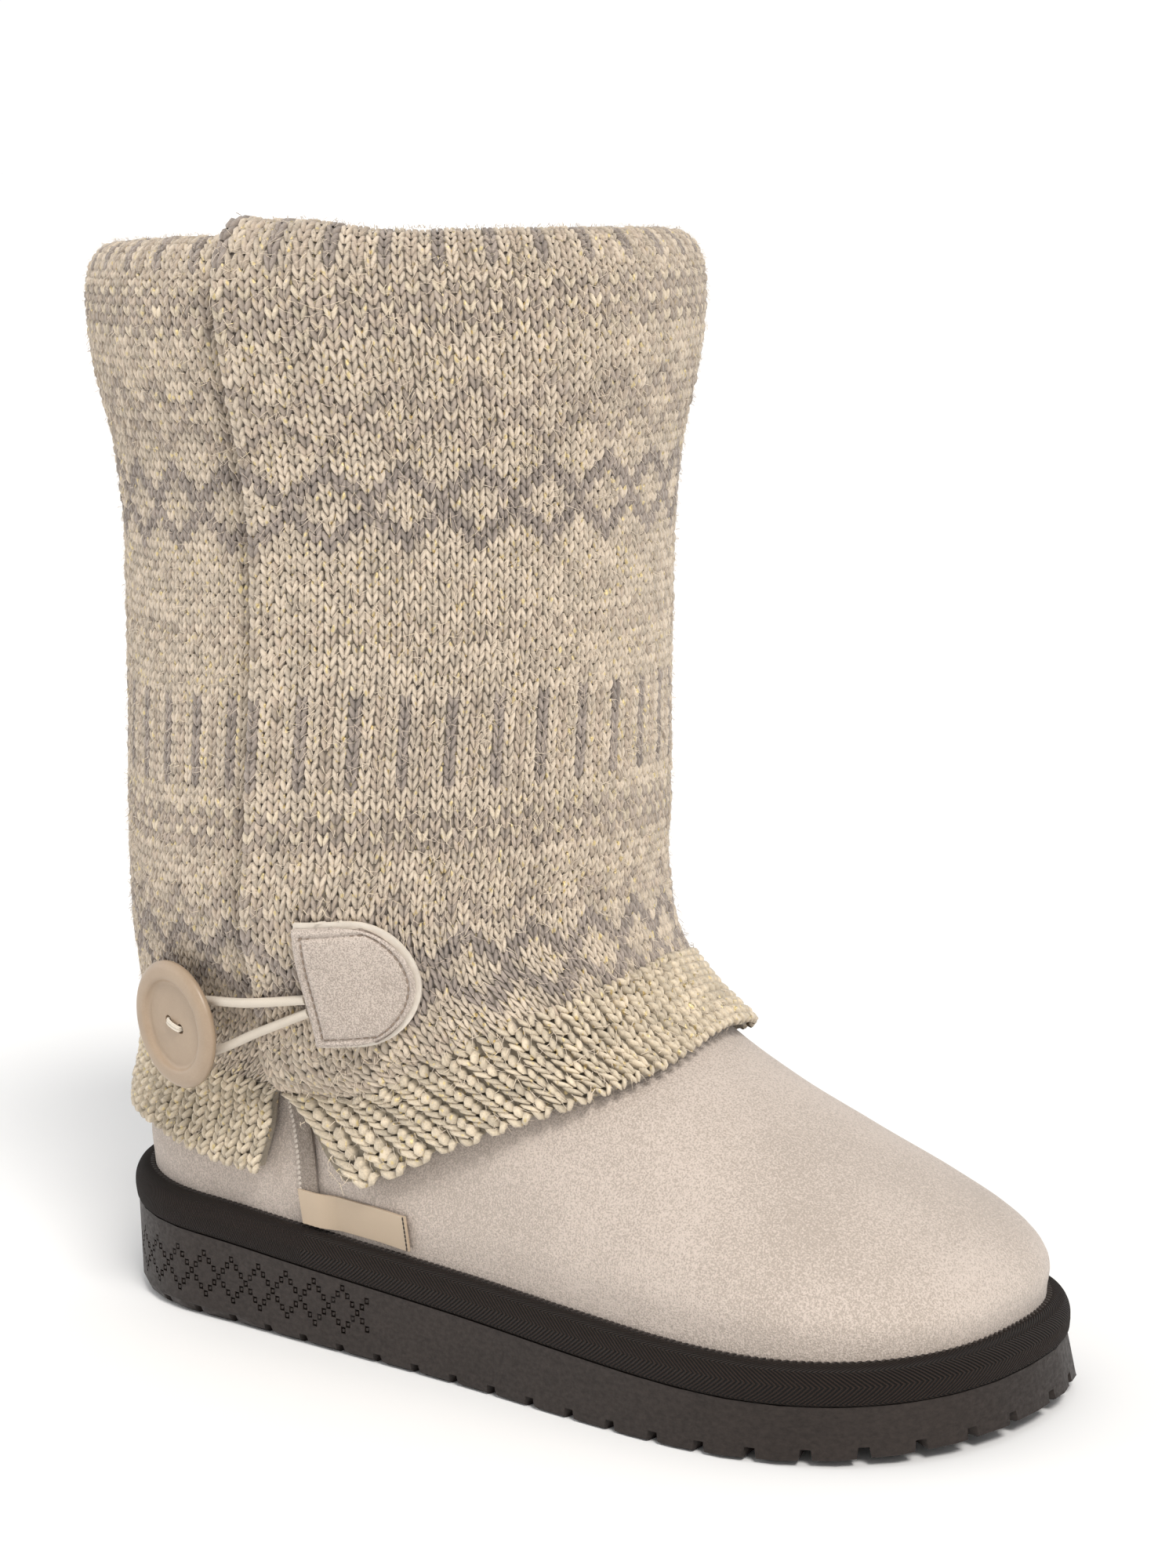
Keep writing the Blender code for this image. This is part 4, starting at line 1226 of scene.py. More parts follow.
def seam_strips():
    """Raised strips over the side seams, each beside a whipped edge."""
    for name, around, forward in (("outer_seam_strip", OUTER_SEAM, 1), ("inner_seam_strip", INNER_SEAM, -1)):
        low = rim_level(around)
        high = level_at(around, STRIP_TOP)

        def on_strip(share, rise, around=around, low=low, high=high):
            level = mix(low, high, rise)
            half = around_step(around, level, STRIP_WIDE / 2)
            crown = STRIP_CROWN * (1 - (2 * share - 1) ** 4)
            return off_upper(around + mix(-half, half, share), level, GAP + crown)

        strip = grid_sheet(name + "_suede", 14, 60, on_strip)
        thicken(strip, STRIP_THICK, 1)
        smooth_shade(strip)
        finished(strip, STRIP_SUEDE_NAP_AND_SHADE, (name,))
        level = mix(low, high, (np.arange(PIPING_STITCHES) + 0.5) / PIPING_STITCHES)
        edge = around - forward * around_step(around, level, STRIP_WIDE / 2 - 0.0001)
        centre = off_upper(edge, level, 0.0010)
        out = upper_normal(edge, level)
        up = unit(np.gradient(centre, axis=0))
        slanted = unit(np.cross(up, out) + up * 0.5)
        places = list(zip(centre, slanted, np.cross(out, slanted), out))
        piping = copies_along(bead(*PIPING_SIZE), name + "_piping", places)
        smooth_shade(piping, 80)
        finished(piping, PIPING)


# Knitted cuff


def rule_value(rule, column, row):
    """Yarn of a stitch in one band. Diamonds and the trellis repeat every six columns."""
    across = abs((column + 3) % 6 - 3)
    if rule == "checks":
        return TAN if (column + row) % 2 else LIGHT
    if rule == "mottled":
        return SOFT_GREY if (column + row) % 2 else (TAN if row % 2 else PALE)
    if rule == "specks":
        return TAN if (column + 2 * row) % 4 == 0 else LIGHT
    if rule == "trellis":
        edge = abs(across - row % 6) if row % 6 <= 3 else abs(across - 6 + row % 6)
        return SOFT_GREY if edge == 0 else (TAN if edge == 1 and column % 2 else LIGHT)
    if rule == "diamonds":
        return GREY if across + abs(row - 4) in (3, 4) else LIGHT
    if rule == "stripes":
        return (GREY, LIGHT, TAN, LIGHT)[column % 4] if row else LIGHT
    return TAN if (3 * column + 5 * row) % 11 == 0 else LIGHT


def knit_chart():
    """Yarn of every stitch of the whole sheet, from the turned-in edge to the ribbing."""
    rows = []
    for row in range(TURN_ROWS + FOLD_ROWS):
        rows.append([rule_value("stripes", column, 1) for column in range(STITCH_COLUMNS)])
    for count, rule in PATTERN_BANDS:
        for row in range(count):
            rows.append([rule_value(rule, column, row) for column in range(STITCH_COLUMNS)])
    return np.array(rows)


CHART = knit_chart()


def hang_at(share):
    """How far the outer panel hangs below the collar, and the place round the boot."""
    start = curve(SLIT_SECTIONS, 1, HANG_READ)
    end = 1 + curve(SLIT_SECTIONS, 2, HANG_READ)
    around = mix(start, end, np.clip(share, 0, 1)) % 1.0
    return COLLAR_HEIGHT * (1 - curve(HEM_SECTIONS, 1, around)), around


def pattern_rise(row, share):
    """Share of the sheet at a row of the pattern, whose outer rows lie level."""
    turned = TURN_ROWS + FOLD_ROWS
    rise = np.interp(row, (0, TURN_ROWS, turned), (0, TURN_SHARE, FOLD_SHARE))
    return rise + (1 - FOLD_SHARE) * np.maximum(row - turned, 0) * ROW_HIGH / hang_at(share)[0]


def rib_rise(row, share):
    """Share of the sheet at a row of the ribbing, which follows the hem and is lower at the front."""
    hang = hang_at(share)[0]
    high = mix(RIB_HIGH_FRONT, RIB_HIGH, np.clip((hang - HANG_LOW) / HANG_SPAN, 0, 1))
    return 1 - (1 - FOLD_SHARE) * (1 - row / RIB_ROWS) * high / hang


def lean(rise, share):
    """How far the columns near the hem lean sideways, to meet it squarely."""
    hang, around = hang_at(share)
    above = (1 - rise) / (1 - FOLD_SHARE) * hang
    slope = RIB_LEAN * np.sin(2 * np.pi * np.clip((around - LEAN_FROM) / LEAN_SPAN, 0, 1))
    return slope * np.clip(LEAN_HIGH - above, 0, LEAN_HIGH) / CUFF_WIDTH


def set_yarn(piece, values):
    """Stores the yarn, its chance shade and its depth as painted shade on every point of a piece."""
    layer = piece.data.color_attributes.new("yarn", "FLOAT_COLOR", "POINT")
    colours = np.ones((len(values), 4))
    colours[:, :3] = values
    layer.data.foreach_set("color", colours.ravel())


def stitch_leg():
    """One leg of a stitch: a half-round strand, thin at both ends.

    X and Y count stitches, Z is in metres. The leg leans out from the stitch's foot to its shoulder.
    """
    clear_selection()
    bpy.ops.mesh.primitive_grid_add(x_subdivisions=3, y_subdivisions=3, size=1)
    leg = added("stitch")
    flat = coordinates(leg)
    along = flat[:, 1] + 0.5
    turn = np.pi * (0.5 - flat[:, 0]) * LEG_ARC
    swell = np.sin(np.pi * mix(0.10, 0.90, along)) ** 0.7
    points = np.empty_like(flat)
    points[:, 0] = mix(LEG_FOOT[0], LEG_SHOULDER[0], ease(along)) + LEG_HALF * swell * np.cos(turn)
    points[:, 1] = mix(LEG_FOOT[1], LEG_SHOULDER[1], along) + 0.06 * np.cos(turn)
    points[:, 2] = -YARN_HIGH + YARN_HIGH * (0.15 + swell) * np.sin(turn)
    set_coordinates(leg, points)
    edit(leg, face_outward)
    if sum(face.normal.z for face in leg.data.polygons) < 0:
        edit(leg, flip_faces)
    return leg


def stitch_field(name, columns, rows, values, rise_at, first_row=0, plump=1.0, squeeze=1.0, bulge=0.0):
    """Rows of stitches laid over the cuff: one stitch, arrayed flat and then moved onto the sheet."""
    stitch = stitch_leg()
    each = len(stitch.data.vertices) * 2
    mirror = stitch.modifiers.new("other leg", "MIRROR")
    mirror.use_mirror_merge = False
    arrayed(stitch, columns, (1, 0, 0))
    arrayed(stitch, rows, (0, 1, 0))
    apply_modifiers(stitch)
    points = coordinates(stitch)
    index = np.arange(len(points)) // each
    column = index % columns
    row = index // columns
    chance = np.random.default_rng(first_row + 7 * columns)
    jitter = chance.normal(0, 1, (columns * rows, 4))
    x = points[:, 0] - column
    y = points[:, 1] - row
    crown = bulge * (1 - np.clip(2 * np.abs(x), 0, 1) ** 2)
    x = x * squeeze * (1 + STITCH_VARIES * jitter[index, 0]) + STITCH_SHIFTS * jitter[index, 1]
    y = y + STITCH_VARIES * jitter[index, 2] * (1 + x)
    height = -YARN_HIGH + (points[:, 2] + YARN_HIGH) * plump + STITCH_LIFTS * jitter[index, 3] + crown
    share = (column + 0.5 + x) / columns
    rise = rise_at(first_row + row + y, share)
    share = share + lean(rise, share)
    renamed(stitch, name)
    set_coordinates(stitch, knit_point(share, rise, height))
    shade = YARN_SHADE + YARN_SHADE_VARIES * chance.normal(0, 1, columns * rows)
    shade = np.clip(shade, 0, 0.6)[index]
    # Painted shade: the yarn is darkened with its depth, down between the stitches
    hollow = np.clip(1 + points[:, 2] / YARN_HIGH, 0, 1)
    colours = np.stack([values[row, column], shade, 0.50 + 0.50 * hollow], axis=1)
    set_yarn(stitch, colours)
    if rise_at is pattern_rise:
        middle = (column + 0.5) / columns
        remove_points(stitch, pattern_rise(first_row + row + 0.3, middle) > rib_rise(0, middle))
    smooth_shade(stitch, 180)
    return finished(stitch, YARN)


def remove_points(piece, unwanted):
    select_only(piece)
    bpy.ops.object.mode_set(mode="EDIT")
    bpy.ops.mesh.select_mode(type="VERT")
    bpy.ops.mesh.select_all(action="DESELECT")
    bpy.ops.object.mode_set(mode="OBJECT")
    piece.data.vertices.foreach_set("select", unwanted)
    bpy.ops.object.mode_set(mode="EDIT")
    bpy.ops.mesh.delete(type="VERT")
    bpy.ops.object.mode_set(mode="OBJECT")


def knit_ground():
    """The sheet behind the stitches, which closes the knit and shows dark between them: its yarn is darkened
    as painted shade.
    """
    columns, rows = STITCH_COLUMNS, 100

    def on_ground(share, rise):
        share = mix(EDGE_SHARE, 1 - EDGE_SHARE, share)
        return knit_point(share, rise, np.full(share.shape, -YARN_HIGH))

    sheet = grid_sheet("knit_ground", columns, rows, on_ground, flip=True)
    index = np.arange(len(sheet.data.vertices))
    rise = np.clip(index // (columns + 1) / rows, 0, 1)
    column = np.clip(index % (columns + 1), 0, columns - 1)
    share = (column + 0.5) / columns
    turned = TURN_ROWS + FOLD_ROWS
    row = np.interp(rise, (0, TURN_SHARE, FOLD_SHARE), (0, TURN_ROWS, turned))
    row = row + np.maximum(rise - FOLD_SHARE, 0) / (1 - FOLD_SHARE) * hang_at(share)[0] / ROW_HIGH
    value = CHART[np.clip(row.astype(int), 0, len(CHART) - 1), column]
    value = np.where(rise > rib_rise(0, share), WARM, value)
    set_yarn(sheet, np.stack([value, np.full(len(index), YARN_SHADE), np.ones(len(index))], axis=1))
    thicken(sheet, KNIT_THICK - YARN_HIGH - 0.0002, -1, even=False)
    smooth_shade(sheet)
    return finished(sheet, GROUND_PAINTED_SHADE, ("knit_cuff",))


def knitted_cuff():
    knit_ground()
    turned = TURN_ROWS + FOLD_ROWS
    stitch_field("knit_turn", STITCH_COLUMNS, turned, CHART[:turned], pattern_rise)
    quarter = PATTERN_ROWS // 4
    for number, name in enumerate(("knit_top", "knit_middle", "knit_low", "knit_lowest")):
        first = turned + number * quarter
        stitch_field(name, STITCH_COLUMNS, quarter, CHART[first:first + quarter], pattern_rise, first)
    ribs = np.full((RIB_ROWS + 1, RIB_COLUMNS), WARM)
    shape = {"plump": RIB_PLUMP, "squeeze": RIB_SQUEEZE, "bulge": RIB_BULGE}
    stitch_field("knit_rib", RIB_COLUMNS, RIB_ROWS + 1, ribs, rib_rise, **shape)
    yarn_hairs()


def yarn_hairs():
    """Loose fine hairs that lie over the knit: one blade, arrayed and then bent over the sheet."""
    clear_selection()
    bpy.ops.mesh.primitive_grid_add(x_subdivisions=1, y_subdivisions=2, size=1)
    hair = added("yarn_hairs")
    each = len(hair.data.vertices)
    arrayed(hair, HAIRS, (2, 0, 0))
    apply_modifiers(hair)
    points = coordinates(hair)
    index = np.arange(len(points)) // each
    chance = np.random.default_rng(11)
    share = chance.uniform(0.002, 0.998, HAIRS)
    rise = chance.uniform(TURN_SHARE * 0.8, 1.0, HAIRS)
    turn = chance.normal(0, 0.7, HAIRS)
    length = HAIR_LONG * chance.uniform(0.5, 1.3, HAIRS)
    bend = chance.normal(0, 0.5, HAIRS)
    lift = chance.uniform(0.0002, 0.0010, HAIRS)
    along = points[:, 1] + 0.5
    aside = (points[:, 0] - 2 * index) * HAIR_WIDE * (1 - 0.7 * along)
    angle = turn[index] + bend[index] * along
    step = length[index] * along
    sideways = np.sin(angle) * step + np.cos(angle) * aside
    down = np.cos(angle) * step - np.sin(angle) * aside
    hang = hang_at(share)[0]
    new_share = share[index] + sideways / CUFF_WIDTH
    new_rise = rise[index] + down / hang[index] * (1 - FOLD_SHARE)
    above = 0.0001 + lift[index] * np.sin(np.pi * np.clip(along, 0, 0.85)) + 0.0004 * (new_rise > 0.9)
    set_coordinates(hair, knit_point(new_share, new_rise, above))
    row = np.clip(rise - FOLD_SHARE, 0, 1) / (1 - FOLD_SHARE) * hang / ROW_HIGH + TURN_ROWS + FOLD_ROWS
    column = (share * STITCH_COLUMNS).astype(int)
    value = CHART[np.clip(row.astype(int), 0, len(CHART) - 1), column] * 0.6
    shade = chance.uniform(0.3, 0.6, HAIRS)
    set_yarn(hair, np.stack([value[index], shade[index], np.ones(len(index))], axis=1))
    smooth_shade(hair, 180)
    return finished(hair, HAIR)


# Tab, button, thread and elastic


def tab_row(up):
    """Turn of a row of the tab, from its foot to its top, and how far forward the row reaches."""
    turn = np.pi * (1 - up)
    return turn, TAB_LONG * mix(TAB_STRAIGHT, 1.0, np.sin(turn))


def tab_point(across, up, edge, stand):
    """Points of the D-shaped tab, let out by an edge."""
    turn, reach = tab_row(up)
    height = TAB_HEIGHT + (TAB_HIGH / 2 + edge) * np.cos(turn) * TAB_UPRIGHT
    rear = TAB_PLACE + TAB_LEAN * np.cos(turn)
    level = level_at(rear, height)
    around = rear + around_step(rear, level, across * (reach + edge))
    return on_cuff(around, height, stand)


def tab_edge_distance(across, up):
    """Rough distance to the tab's nearest edge."""
    turn, reach = tab_row(up)
    side = np.minimum(across, 1 - across) * reach
    return np.minimum(side, TAB_HIGH / 2 * (1 - np.abs(np.cos(turn))) * 1.05)


def sewn_tab():
    """Suede D on its smooth backing: a soft rim, a sunk seam and its stitches."""
    lift = TAB_SEAT + BACKING_THICK + GAP

    def on_backing(across, up):
        return tab_point(across, up, BACKING_EDGE, np.full(across.shape, TAB_SEAT + BACKING_THICK))

    def on_suede(across, up):
        distance = tab_edge_distance(across, up)
        rim = TAB_RIM * ease(distance / TAB_RIM_WIDE)
        seam = TAB_SEAM_DEEP * bell(distance - TAB_SEAM, TAB_SEAM_WIDE)
        return tab_point(across, up, 0.0, lift + TAB_THICK + rim - seam)

    for name, node, point, thickness, finish, slot in (
        ("tab_backing_smooth", "tab_backing", on_backing, BACKING_THICK, BACKING, "tab_backing"),
        ("tab_suede_face", "tab", on_suede, TAB_THICK, TAB_SUEDE, "tab_suede"),
    ):
        layer = grid_sheet(name, 72, 110, point)
        thicken(layer, thickness, -1)
        smooth_shade(layer, 60)
        finished(layer, finish, (node,))
    steps = np.linspace(TAB_SEAM_START, 1 - TAB_SEAM_START, 60)
    inset = TAB_SEAM / tab_row(steps)[1]
    across = np.concatenate([1 - inset, inset[::-1], 1 - inset[:1]])
    up = np.concatenate([steps, steps[::-1], steps[:1]])
    line = tab_point(across, up, 0.0, np.full(len(up), lift + TAB_THICK - 0.0002))
    stitches(line, "tab_stitches", TAB_STITCH_PITCH, TAB_STITCH, SEAM_THREAD, "tab_suede")


def evenly(points, pitch):
    """Points one pitch apart along a line, and the directions there."""
    steps = np.linalg.norm(np.diff(points, axis=0), axis=1)
    distances = np.concatenate([[0], np.cumsum(steps)])
    count = max(int(distances[-1] / pitch), 2)
    wanted = (np.arange(count) + 0.5) * distances[-1] / count

    def at(distance):
        return np.stack([np.interp(distance, distances, points[:, axis]) for axis in range(3)], axis=1)

    return at(wanted), unit(at(wanted + pitch / 4) - at(wanted - pitch / 4))


def stitches(line, name, pitch, size, finish, slot, out=None, slant=0.0):
    """A row of small stitches along a line on the outer side."""
    rows = []
    for place, ahead in zip(*evenly(line, pitch)):
        outward = unit(shaft_out(place)) if out is None else out
        side = unit(np.cross(outward, ahead))
        ahead = unit(ahead + side * slant)
        side = unit(np.cross(outward, ahead))
        rows.append((place, ahead, side, outward))
    piece = copies_along(bead(*size), name, rows)
    smooth_shade(piece, 80)
    return finished(piece, finish)


def shaft_out(place):
    """Rough outward direction at a place on the shaft."""
    return np.array((place[0] - SOLE_LENGTH * 0.2, place[1] * 2.0, 0.0))


def button_frame():
    """Where the button's shank meets the knit, and its axis, forward and upward directions."""
    seat = on_cuff(BUTTON_PLACE, BUTTON_HEIGHT, GAP)
    outward = upper_normal(BUTTON_PLACE, level_at(BUTTON_PLACE, BUTTON_HEIGHT))
    outward[2] = -math.sin(BUTTON_TILT)
    axis = Vector(unit(outward))
    forward = Vector((0, 0, 1)).cross(axis).normalized()
    return Vector(seat), axis, forward, axis.cross(forward)


def turned_button():
    """Button turned from its profile, with two holes."""
    seat, axis, forward, upward = button_frame()
    rows = numbered(BUTTON_SECTIONS)
    steps = np.linspace(0, len(rows) - 1, 73)
    radius = BUTTON_WIDE / 2 - BUTTON_RIM * curve(rows, 1, steps)
    height = BUTTON_THICK * curve(rows, 2, steps)
    profile = [(0.0, height[0])] + list(zip(radius, height)) + [(0.0, 0.0)]
    mesh = bpy.data.meshes.new("button_profile")
    mesh.from_pydata([(x, 0, z) for x, z in profile], [(i, i + 1) for i in range(len(profile) - 1)], [])
    disc = in_scene("button_disc", mesh)
    screw = disc.modifiers.new("turn", "SCREW")
    screw.steps = 96
    screw.render_steps = 96
    screw.use_merge_vertices = True
    screw.merge_threshold = 0.00005
    apply_modifiers(disc)
    edit(disc, merge_doubles, face_outward)
    direction = Vector((math.cos(HOLE_TURN), math.sin(HOLE_TURN), 0))
    for side in (-1, 1):
        clear_selection()
        place = direction * BUTTON_HOLE_APART / 2 * side
        bpy.ops.mesh.primitive_cylinder_add(vertices=32, radius=BUTTON_HOLE / 2, depth=0.02, location=place)
        cut_away(disc, added("drill"), "EXACT")
    rotation = Matrix((forward, upward, axis)).transposed().to_4x4()
    disc.data.transform(Matrix.Translation(seat + axis * BUTTON_STAND) @ rotation)
    smooth_shade(disc, 40)
    return finished(disc, RESIN, ("button",))


def flowing(points, steps):
    """A smooth run of points through a few."""
    rows = numbered(points)
    places = np.linspace(0, len(points) - 1, (len(points) - 1) * steps + 1)
    return np.stack([curve(rows, axis, places) for axis in (1, 2, 3)], axis=1)


def strand(name, points, wide, sides=6):
    """A round cord along a run of points, made a mesh."""
    line = bpy.data.curves.new(name, "CURVE")
    line.dimensions = "3D"
    line.bevel_depth = wide / 2
    line.bevel_resolution = sides
    line.use_fill_caps = True
    spline = line.splines.new("POLY")
    spline.points.add(len(points) - 1)
    for point, place in zip(spline.points, points):
        point.co = (*place, 1.0)
    select_only(in_scene(name, line))
    bpy.ops.object.convert(target="MESH")
    return added(name)


def button_thread():
    """Sewing thread: four strands side by side through the holes and down to the knit."""
    seat, axis, forward, upward = button_frame()
    direction = forward * math.cos(HOLE_TURN) + upward * math.sin(HOLE_TURN)
    half = direction * BUTTON_HOLE_APART / 2
    across = direction.cross(axis)
    dish = BUTTON_THICK * BUTTON_SECTIONS[0][1]
    top = BUTTON_STAND + dish + THREAD_WIDE / 2
    strands = []
    for index in range(4):
        side = across * (index - 1.5) * THREAD_WIDE * STRAND_APART
        lift = STRAND_LIFT * (index % 2)
        bar = (
            # along the bar, aside, height
            (-1.0, 0.6, THREAD_WIDE),
            (-1.0, 0.8, top - 0.0011),
            (-0.86, 1.0, top - 0.0003 + lift),
            (0.0, 1.0, top + lift),
            (0.86, 1.0, top - 0.0003 + lift),
            (1.0, 0.8, top - 0.0011),
            (1.0, 0.6, THREAD_WIDE),
        )
        points = [seat + half * along + side * aside + axis * high for along, aside, high in bar]
        strands.append(strand("thread_strand", flowing(points, 6), THREAD_WIDE * STRAND_WIDE, 2))
    thread = joined(strands, "button_thread_strands")
    smooth_shade(thread, 80)
    return finished(thread, COTTON, ("button_thread",))


def elastic_loop():
    """Elastic cord from under the tab, round the button's shank and back."""
    seat, axis, forward, upward = button_frame()
    half = ELASTIC_WIDE / 2
    lift = TAB_SEAT + half
    behind = BUTTON_HOLE_APART / 2 + THREAD_WIDE / 2 + 2 * GAP + half
    neck = seat + axis * (lift + GAP)
    slit = float(cuff_edges(BUTTON_HEIGHT)[0])
    runs = []
    for side in (1, -1):
        height = TAB_HEIGHT + LOOP_RISE + side * LOOP_APART / 2
        rear = TAB_PLACE + TAB_LEAN * (height - TAB_HEIGHT) / (TAB_HIGH / 2)
        end = rear - float(around_step(rear, level_at(rear, height), 2 * GAP))
        crossing = mix(height, BUTTON_HEIGHT + side * LOOP_EYE, LOOP_CROSSING)
        runs.append([
            Vector(on_cuff(end, height, lift)),
            Vector(on_cuff(slit + SLIT_MARGIN, crossing, lift)),
            neck + forward * LOOP_EYE * LOOP_REACH + upward * LOOP_EYE * side,
            neck + upward * LOOP_EYE * LOOP_NARROW * side,
        ])
    points = runs[0] + [neck - forward * behind] + list(reversed(runs[1]))
    loop = strand("elastic_cord_loop", flowing(points, 14), ELASTIC_WIDE, 5)
    smooth_shade(loop, 80)
    return finished(loop, ELASTIC, ("elastic_loop",))


def side_label():
    """Blank woven label with a dark thread along its front edge."""
    strip_end = float(around_step(OUTER_SEAM, 1.5, STRIP_WIDE / 2))
    low = float(rim_level(OUTER_SEAM))
    step = float(around_step(OUTER_SEAM, low, LABEL_LONG))

    def on_label(across, up):
        around = OUTER_SEAM - strip_end + across * step
        past = (around - OUTER_SEAM - strip_end) / strip_end
        over_strip = GAP + STRIP_THICK + GAP + LABEL_LIFT
        curl = LABEL_CURL * ease((across - LABEL_CURL_START) / (1 - LABEL_CURL_START))
        stand = mix(over_strip, GAP, ease(past / 2)) + curl
        height = upper_point(around, rim_level(around))[..., 2] + up * LABEL_HIGH
        return off_upper(around, level_at(around, height), stand)

    label = grid_sheet("side_label_satin", 60, 16, on_label)
    thicken(label, LABEL_THICK * 0.7, 1)
    smooth_shade(label, 60)
    finished(label, SATIN, ("side_label",))
    outward = upper_normal(OUTER_SEAM, low)
    edge = on_label(np.full(20, 0.985), np.linspace(0.0, 1.0, 20)) + outward * LABEL_THICK * 0.75
    sizes = (LABEL_STITCH_PITCH, LABEL_STITCH)
    stitches(edge, "label_edge_stitches", *sizes, DARK_THREAD, "label_satin", out=outward)


# Platform


def bound_rim():
    """Taped rim of the platform, a whipped seam along the suede."""
    rows = numbered(BINDING_SECTIONS + BINDING_SECTIONS[:1])

    def on_rim(share, rise):
        place = rise * (len(rows) - 1)
        inset = BINDING_WIDE * curve(rows, 1, place) - BINDING_BULGE * curve(rows, 2, place)
        plan = outline(share, inset)
        height = sole_top(plan[..., 0]) + mix(GAP, BINDING_HIGH, curve(rows, 3, place))
        return placed(plan[..., 0], plan[..., 1], height)

    rim = grid_sheet("taped_rim", 320, 32, on_rim)
    edit(rim, face_outward)
    smooth_shade(rim, 60)
    finished(rim, TAPE, ("platform_binding",))
    plan = outline(np.linspace(0, 1, OUTLINE_POINTS), BINDING_WIDE * 0.93)
    line = placed(plan[:, 0], plan[:, 1], sole_top(plan[:, 0]) + BINDING_HIGH * 0.97)
    up = np.array((0.0, 0.0, 1.0))
    stitches(line, "rim_whip_stitches", WHIP_PITCH, WHIP_STITCH, DARK_THREAD, "binding_tape", up, 1.1)


def relief_squares():
    """Cutter for the engraved squares: a frame, copied along the heel's wall in rows of diamonds."""
    step_along = RELIEF_PITCH / RELIEF_COLUMNS
    step_up = RELIEF_HIGH / RELIEF_ROWS
    middle = RELIEF_COLUMNS // 2
    clear_selection()
    bpy.ops.mesh.primitive_plane_add(size=1)
    square = added("relief_frame")
    set_coordinates(square, coordinates(square) * (step_along - RELIEF_PLAY, step_up - RELIEF_PLAY, 0))
    select_only(square)
    bpy.ops.object.mode_set(mode="EDIT")
    bpy.ops.mesh.select_all(action="SELECT")
    bpy.ops.mesh.inset(thickness=RELIEF_LINE)
    bpy.ops.mesh.delete(type="FACE")
    bpy.ops.mesh.select_all(action="SELECT")
    bpy.ops.mesh.extrude_region_move(TRANSFORM_OT_translate={"value": (0, 0, RELIEF_DEEP * 3)})
    bpy.ops.object.mode_set(mode="OBJECT")
    edit(square, face_outward)
    marks = []
    diamonds = int(RELIEF_REACH / RELIEF_PITCH)
    for sign in (-1, 1):
        for diamond in range(diamonds):
            for across in range(-middle, middle):
                high = middle - abs(across)
                for up in {high, -high}:
                    marks.append((sign, (diamond + 0.5) * RELIEF_PITCH + across * step_along, up * step_up))
        for across in range(middle):
            for up in {across, -across}:
                marks.append((sign, diamonds * RELIEF_PITCH + across * step_along, up * step_up))
    places = []
    for sign, distance, up in marks:
        near = outline_distance(distance + np.array((-0.0005, 0.0, 0.0005)), sign, 0.0)
        point = near[1]
        along = unit(np.array((*(near[2] - near[0]), 0.0)))
        outward = np.cross(along, (0, 0, 1)) * -sign
        base = np.array((point[0] - HEEL_BACK, point[1], RELIEF_MIDDLE + up))
        places.append((base - outward * RELIEF_DEEP, along, np.array((0, 0, 1.0)), outward))
    return copies_along(square, "relief_cutter", places)


def even_wall(sole):
    """Shades the side wall by the outline's own directions, so that its thin triangles do not show."""
    points = np.concatenate([SIDES[sign][1] for sign in (-1, 1)])
    tangents = np.concatenate([SIDES[sign][2] * -sign for sign in (-1, 1)])
    nearest = KDTree(len(points))
    for index, point in enumerate(points):
        nearest.insert((point[0] - HEEL_BACK, point[1], 0), index)
    nearest.balance()

    def outward(place):
        index = nearest.find((place[0], place[1], 0))[1]
        return Vector((tangents[index][1], -tangents[index][0], 0))

    wall = [face for face in sole.data.polygons if face.normal.dot(outward(face.center)) > WALL_FACING]
    tilt = sum(face.normal.z * face.area for face in wall) / sum(face.area for face in wall)
    normals = [(0, 0, 0)] * len(sole.data.loops)
    for face in wall:
        for loop, vertex in zip(face.loop_indices, face.vertices):
            direction = outward(sole.data.vertices[vertex].co)
            normals[loop] = (direction + Vector((0, 0, tilt))).normalized()
    sole.data.normals_split_custom_set(normals)


def engraved_outsole():
    """Copy of the moulded sole with the squares cut into its heel wall."""
    clear_selection()
    sole = in_scene("engraved_outsole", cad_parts["outsole"].data.copy())
    edit(sole, merge_doubles)
    cutter = relief_squares()
    edit(cutter, face_outward)
    cut_away(sole, cutter, "MANIFOLD")
    smooth_shade(sole, 32)
    even_wall(sole)
    return finished(sole, RUBBER, ("outsole",))


def footbed():
    """Gives the footbed's own solid its fleece."""
    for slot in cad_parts["insole"].material_slots:
        slot.material = FLEECE


# Camera, light and floor


def camera():
    data = bpy.data.cameras.new("camera")
    data.lens = CAMERA_LENS
    data.sensor_width = 36
    data.clip_start = 0.01
    view = in_scene("camera", data)
    around, high, roll = CAMERA_AROUND, CAMERA_HIGH, CAMERA_ROLL
    back = Vector((math.sin(around) * math.cos(high), -math.cos(around) * math.cos(high), math.sin(high)))
    right = Vector((math.cos(around), math.sin(around), 0))
    up = back.cross(right)
    rolled_right = right * math.cos(roll) + up * math.sin(roll)
    rolled_up = up * math.cos(roll) - right * math.sin(roll)
    turn = Matrix((rolled_right, rolled_up, back)).transposed().to_4x4()
    view.matrix_world = Matrix.Translation(CAMERA_PLACE) @ turn
    bpy.context.scene.camera = view


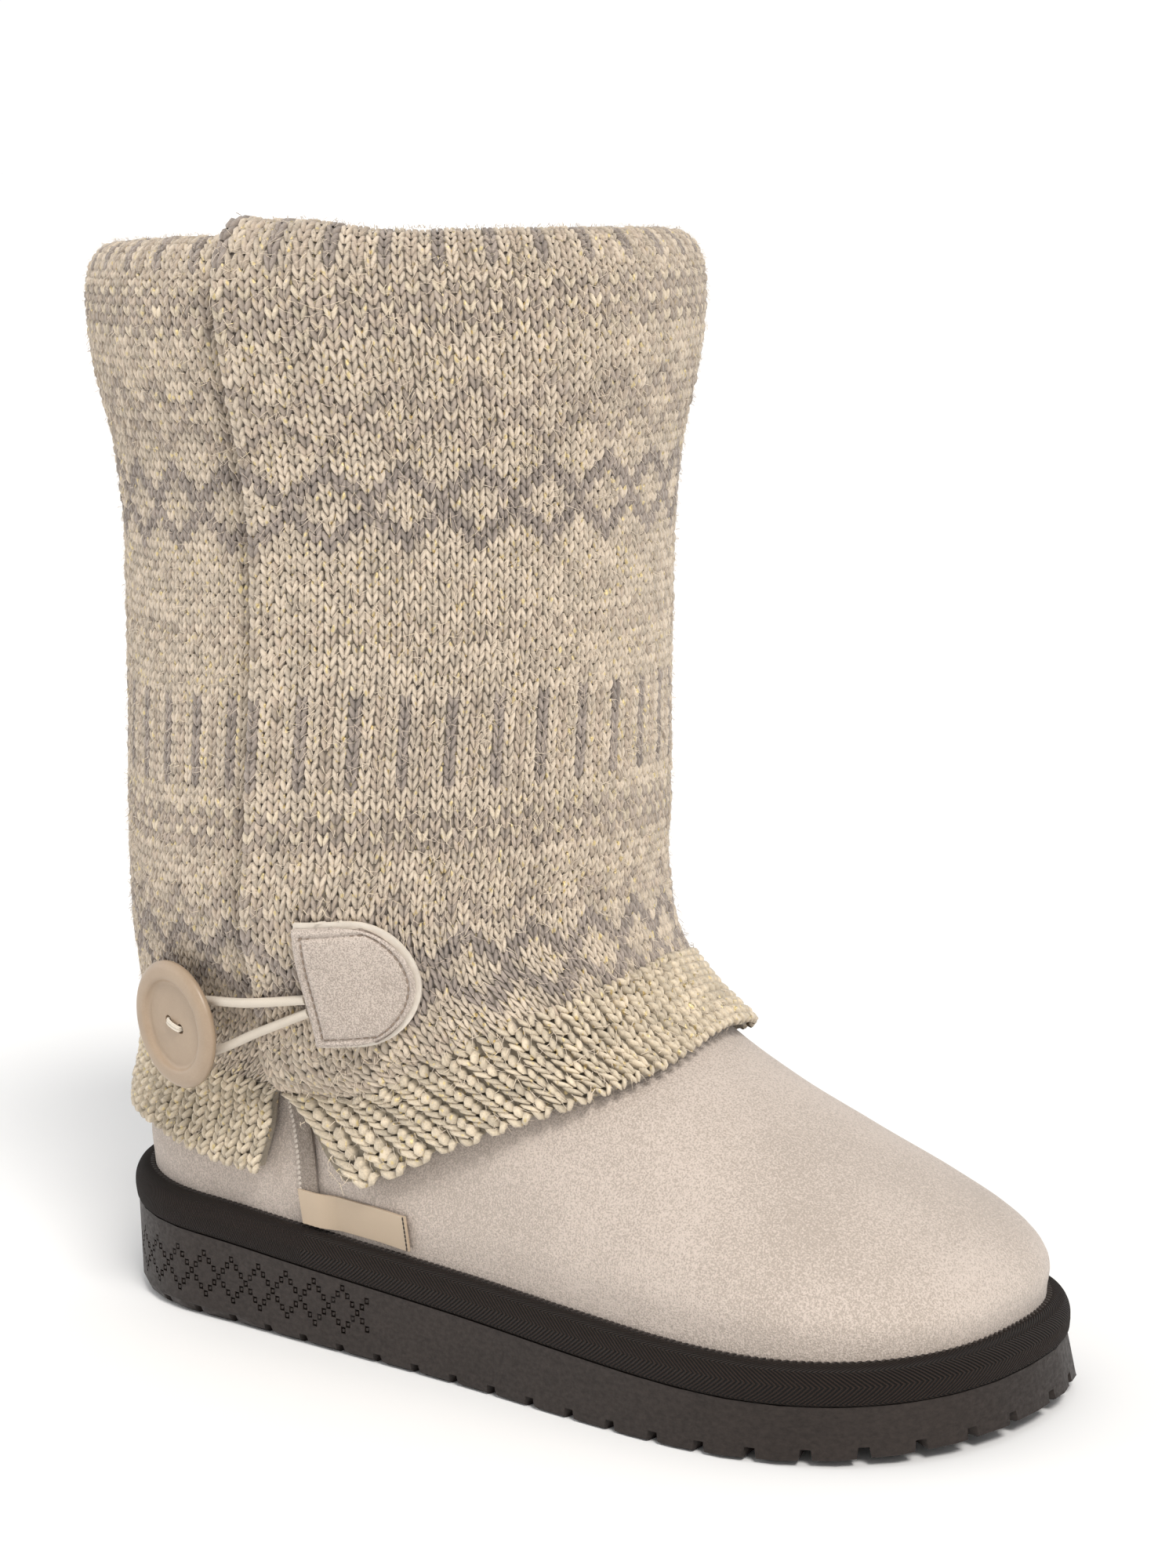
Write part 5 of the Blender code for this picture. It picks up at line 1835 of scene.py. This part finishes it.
def staged_plane(name, finish_name, size, haze_scale, darkest, lightest, socket):
    """A plane of the studio in a near-white finish."""
    clear_selection()
    bpy.ops.mesh.primitive_plane_add(size=size)
    plane = added(name)
    made, tree, shader = new_finish(finish_name, 0.9)
    haze = noise(tree, object_place(tree), haze_scale)
    joins(tree, ramp(tree, haze, ((0.0, (darkest,) * 3), (1.0, (lightest,) * 3))), shader.inputs[socket])
    plane.data.materials.append(made)
    return plane, shader


def floor():
    staged_plane("studio_floor", "pale_floor", FLOOR_WIDE, 3.0, 0.95, 0.97, "Base Color")


def backdrop():
    """White wall of light far behind the boot."""
    wall, shader = staged_plane("studio_wall", "lit_wall", 1, 0.2, 0.98, 1.0, "Emission Color")
    shader.inputs["Emission Strength"].default_value = 1.0
    shader.inputs["Base Color"].default_value = (0.0, 0.0, 0.0, 1)
    flat = coordinates(wall)
    away = np.array((-math.sin(CAMERA_AROUND), math.cos(CAMERA_AROUND), 0.0))
    across = np.array((math.cos(CAMERA_AROUND), math.sin(CAMERA_AROUND), 0.0))
    risen = (flat[:, 1:2] + 0.5) * np.array((0, 0, WALL_HIGH))
    set_coordinates(wall, away * WALL_AWAY + flat[:, :1] * across * WALL_WIDE + risen)


def studio():
    world = bpy.data.worlds.new("studio")
    bpy.context.scene.world = world
    world.use_nodes = True
    background = world.node_tree.nodes["Background"]
    background.inputs["Color"].default_value = (1.0, 1.0, 1.0, 1)
    background.inputs["Strength"].default_value = SKY_STRENGTH
    for name, energy, angle, colour, place in LIGHTS:
        data = bpy.data.lights.new(name, "SUN")
        data.energy = energy
        data.angle = math.radians(angle)
        data.color = colour
        light = in_scene(name, data)
        light.rotation_euler = Vector(place).to_track_quat("Z", "Y").to_euler()
    bpy.context.scene.view_settings.view_transform = "Standard"


def main():
    camera()
    studio()
    floor()
    backdrop()
    engraved_outsole()
    bound_rim()
    footbed()
    foot_and_shaft()
    seam_strips()
    knitted_cuff()
    sewn_tab()
    turned_button()
    button_thread()
    elastic_loop()
    side_label()


main()
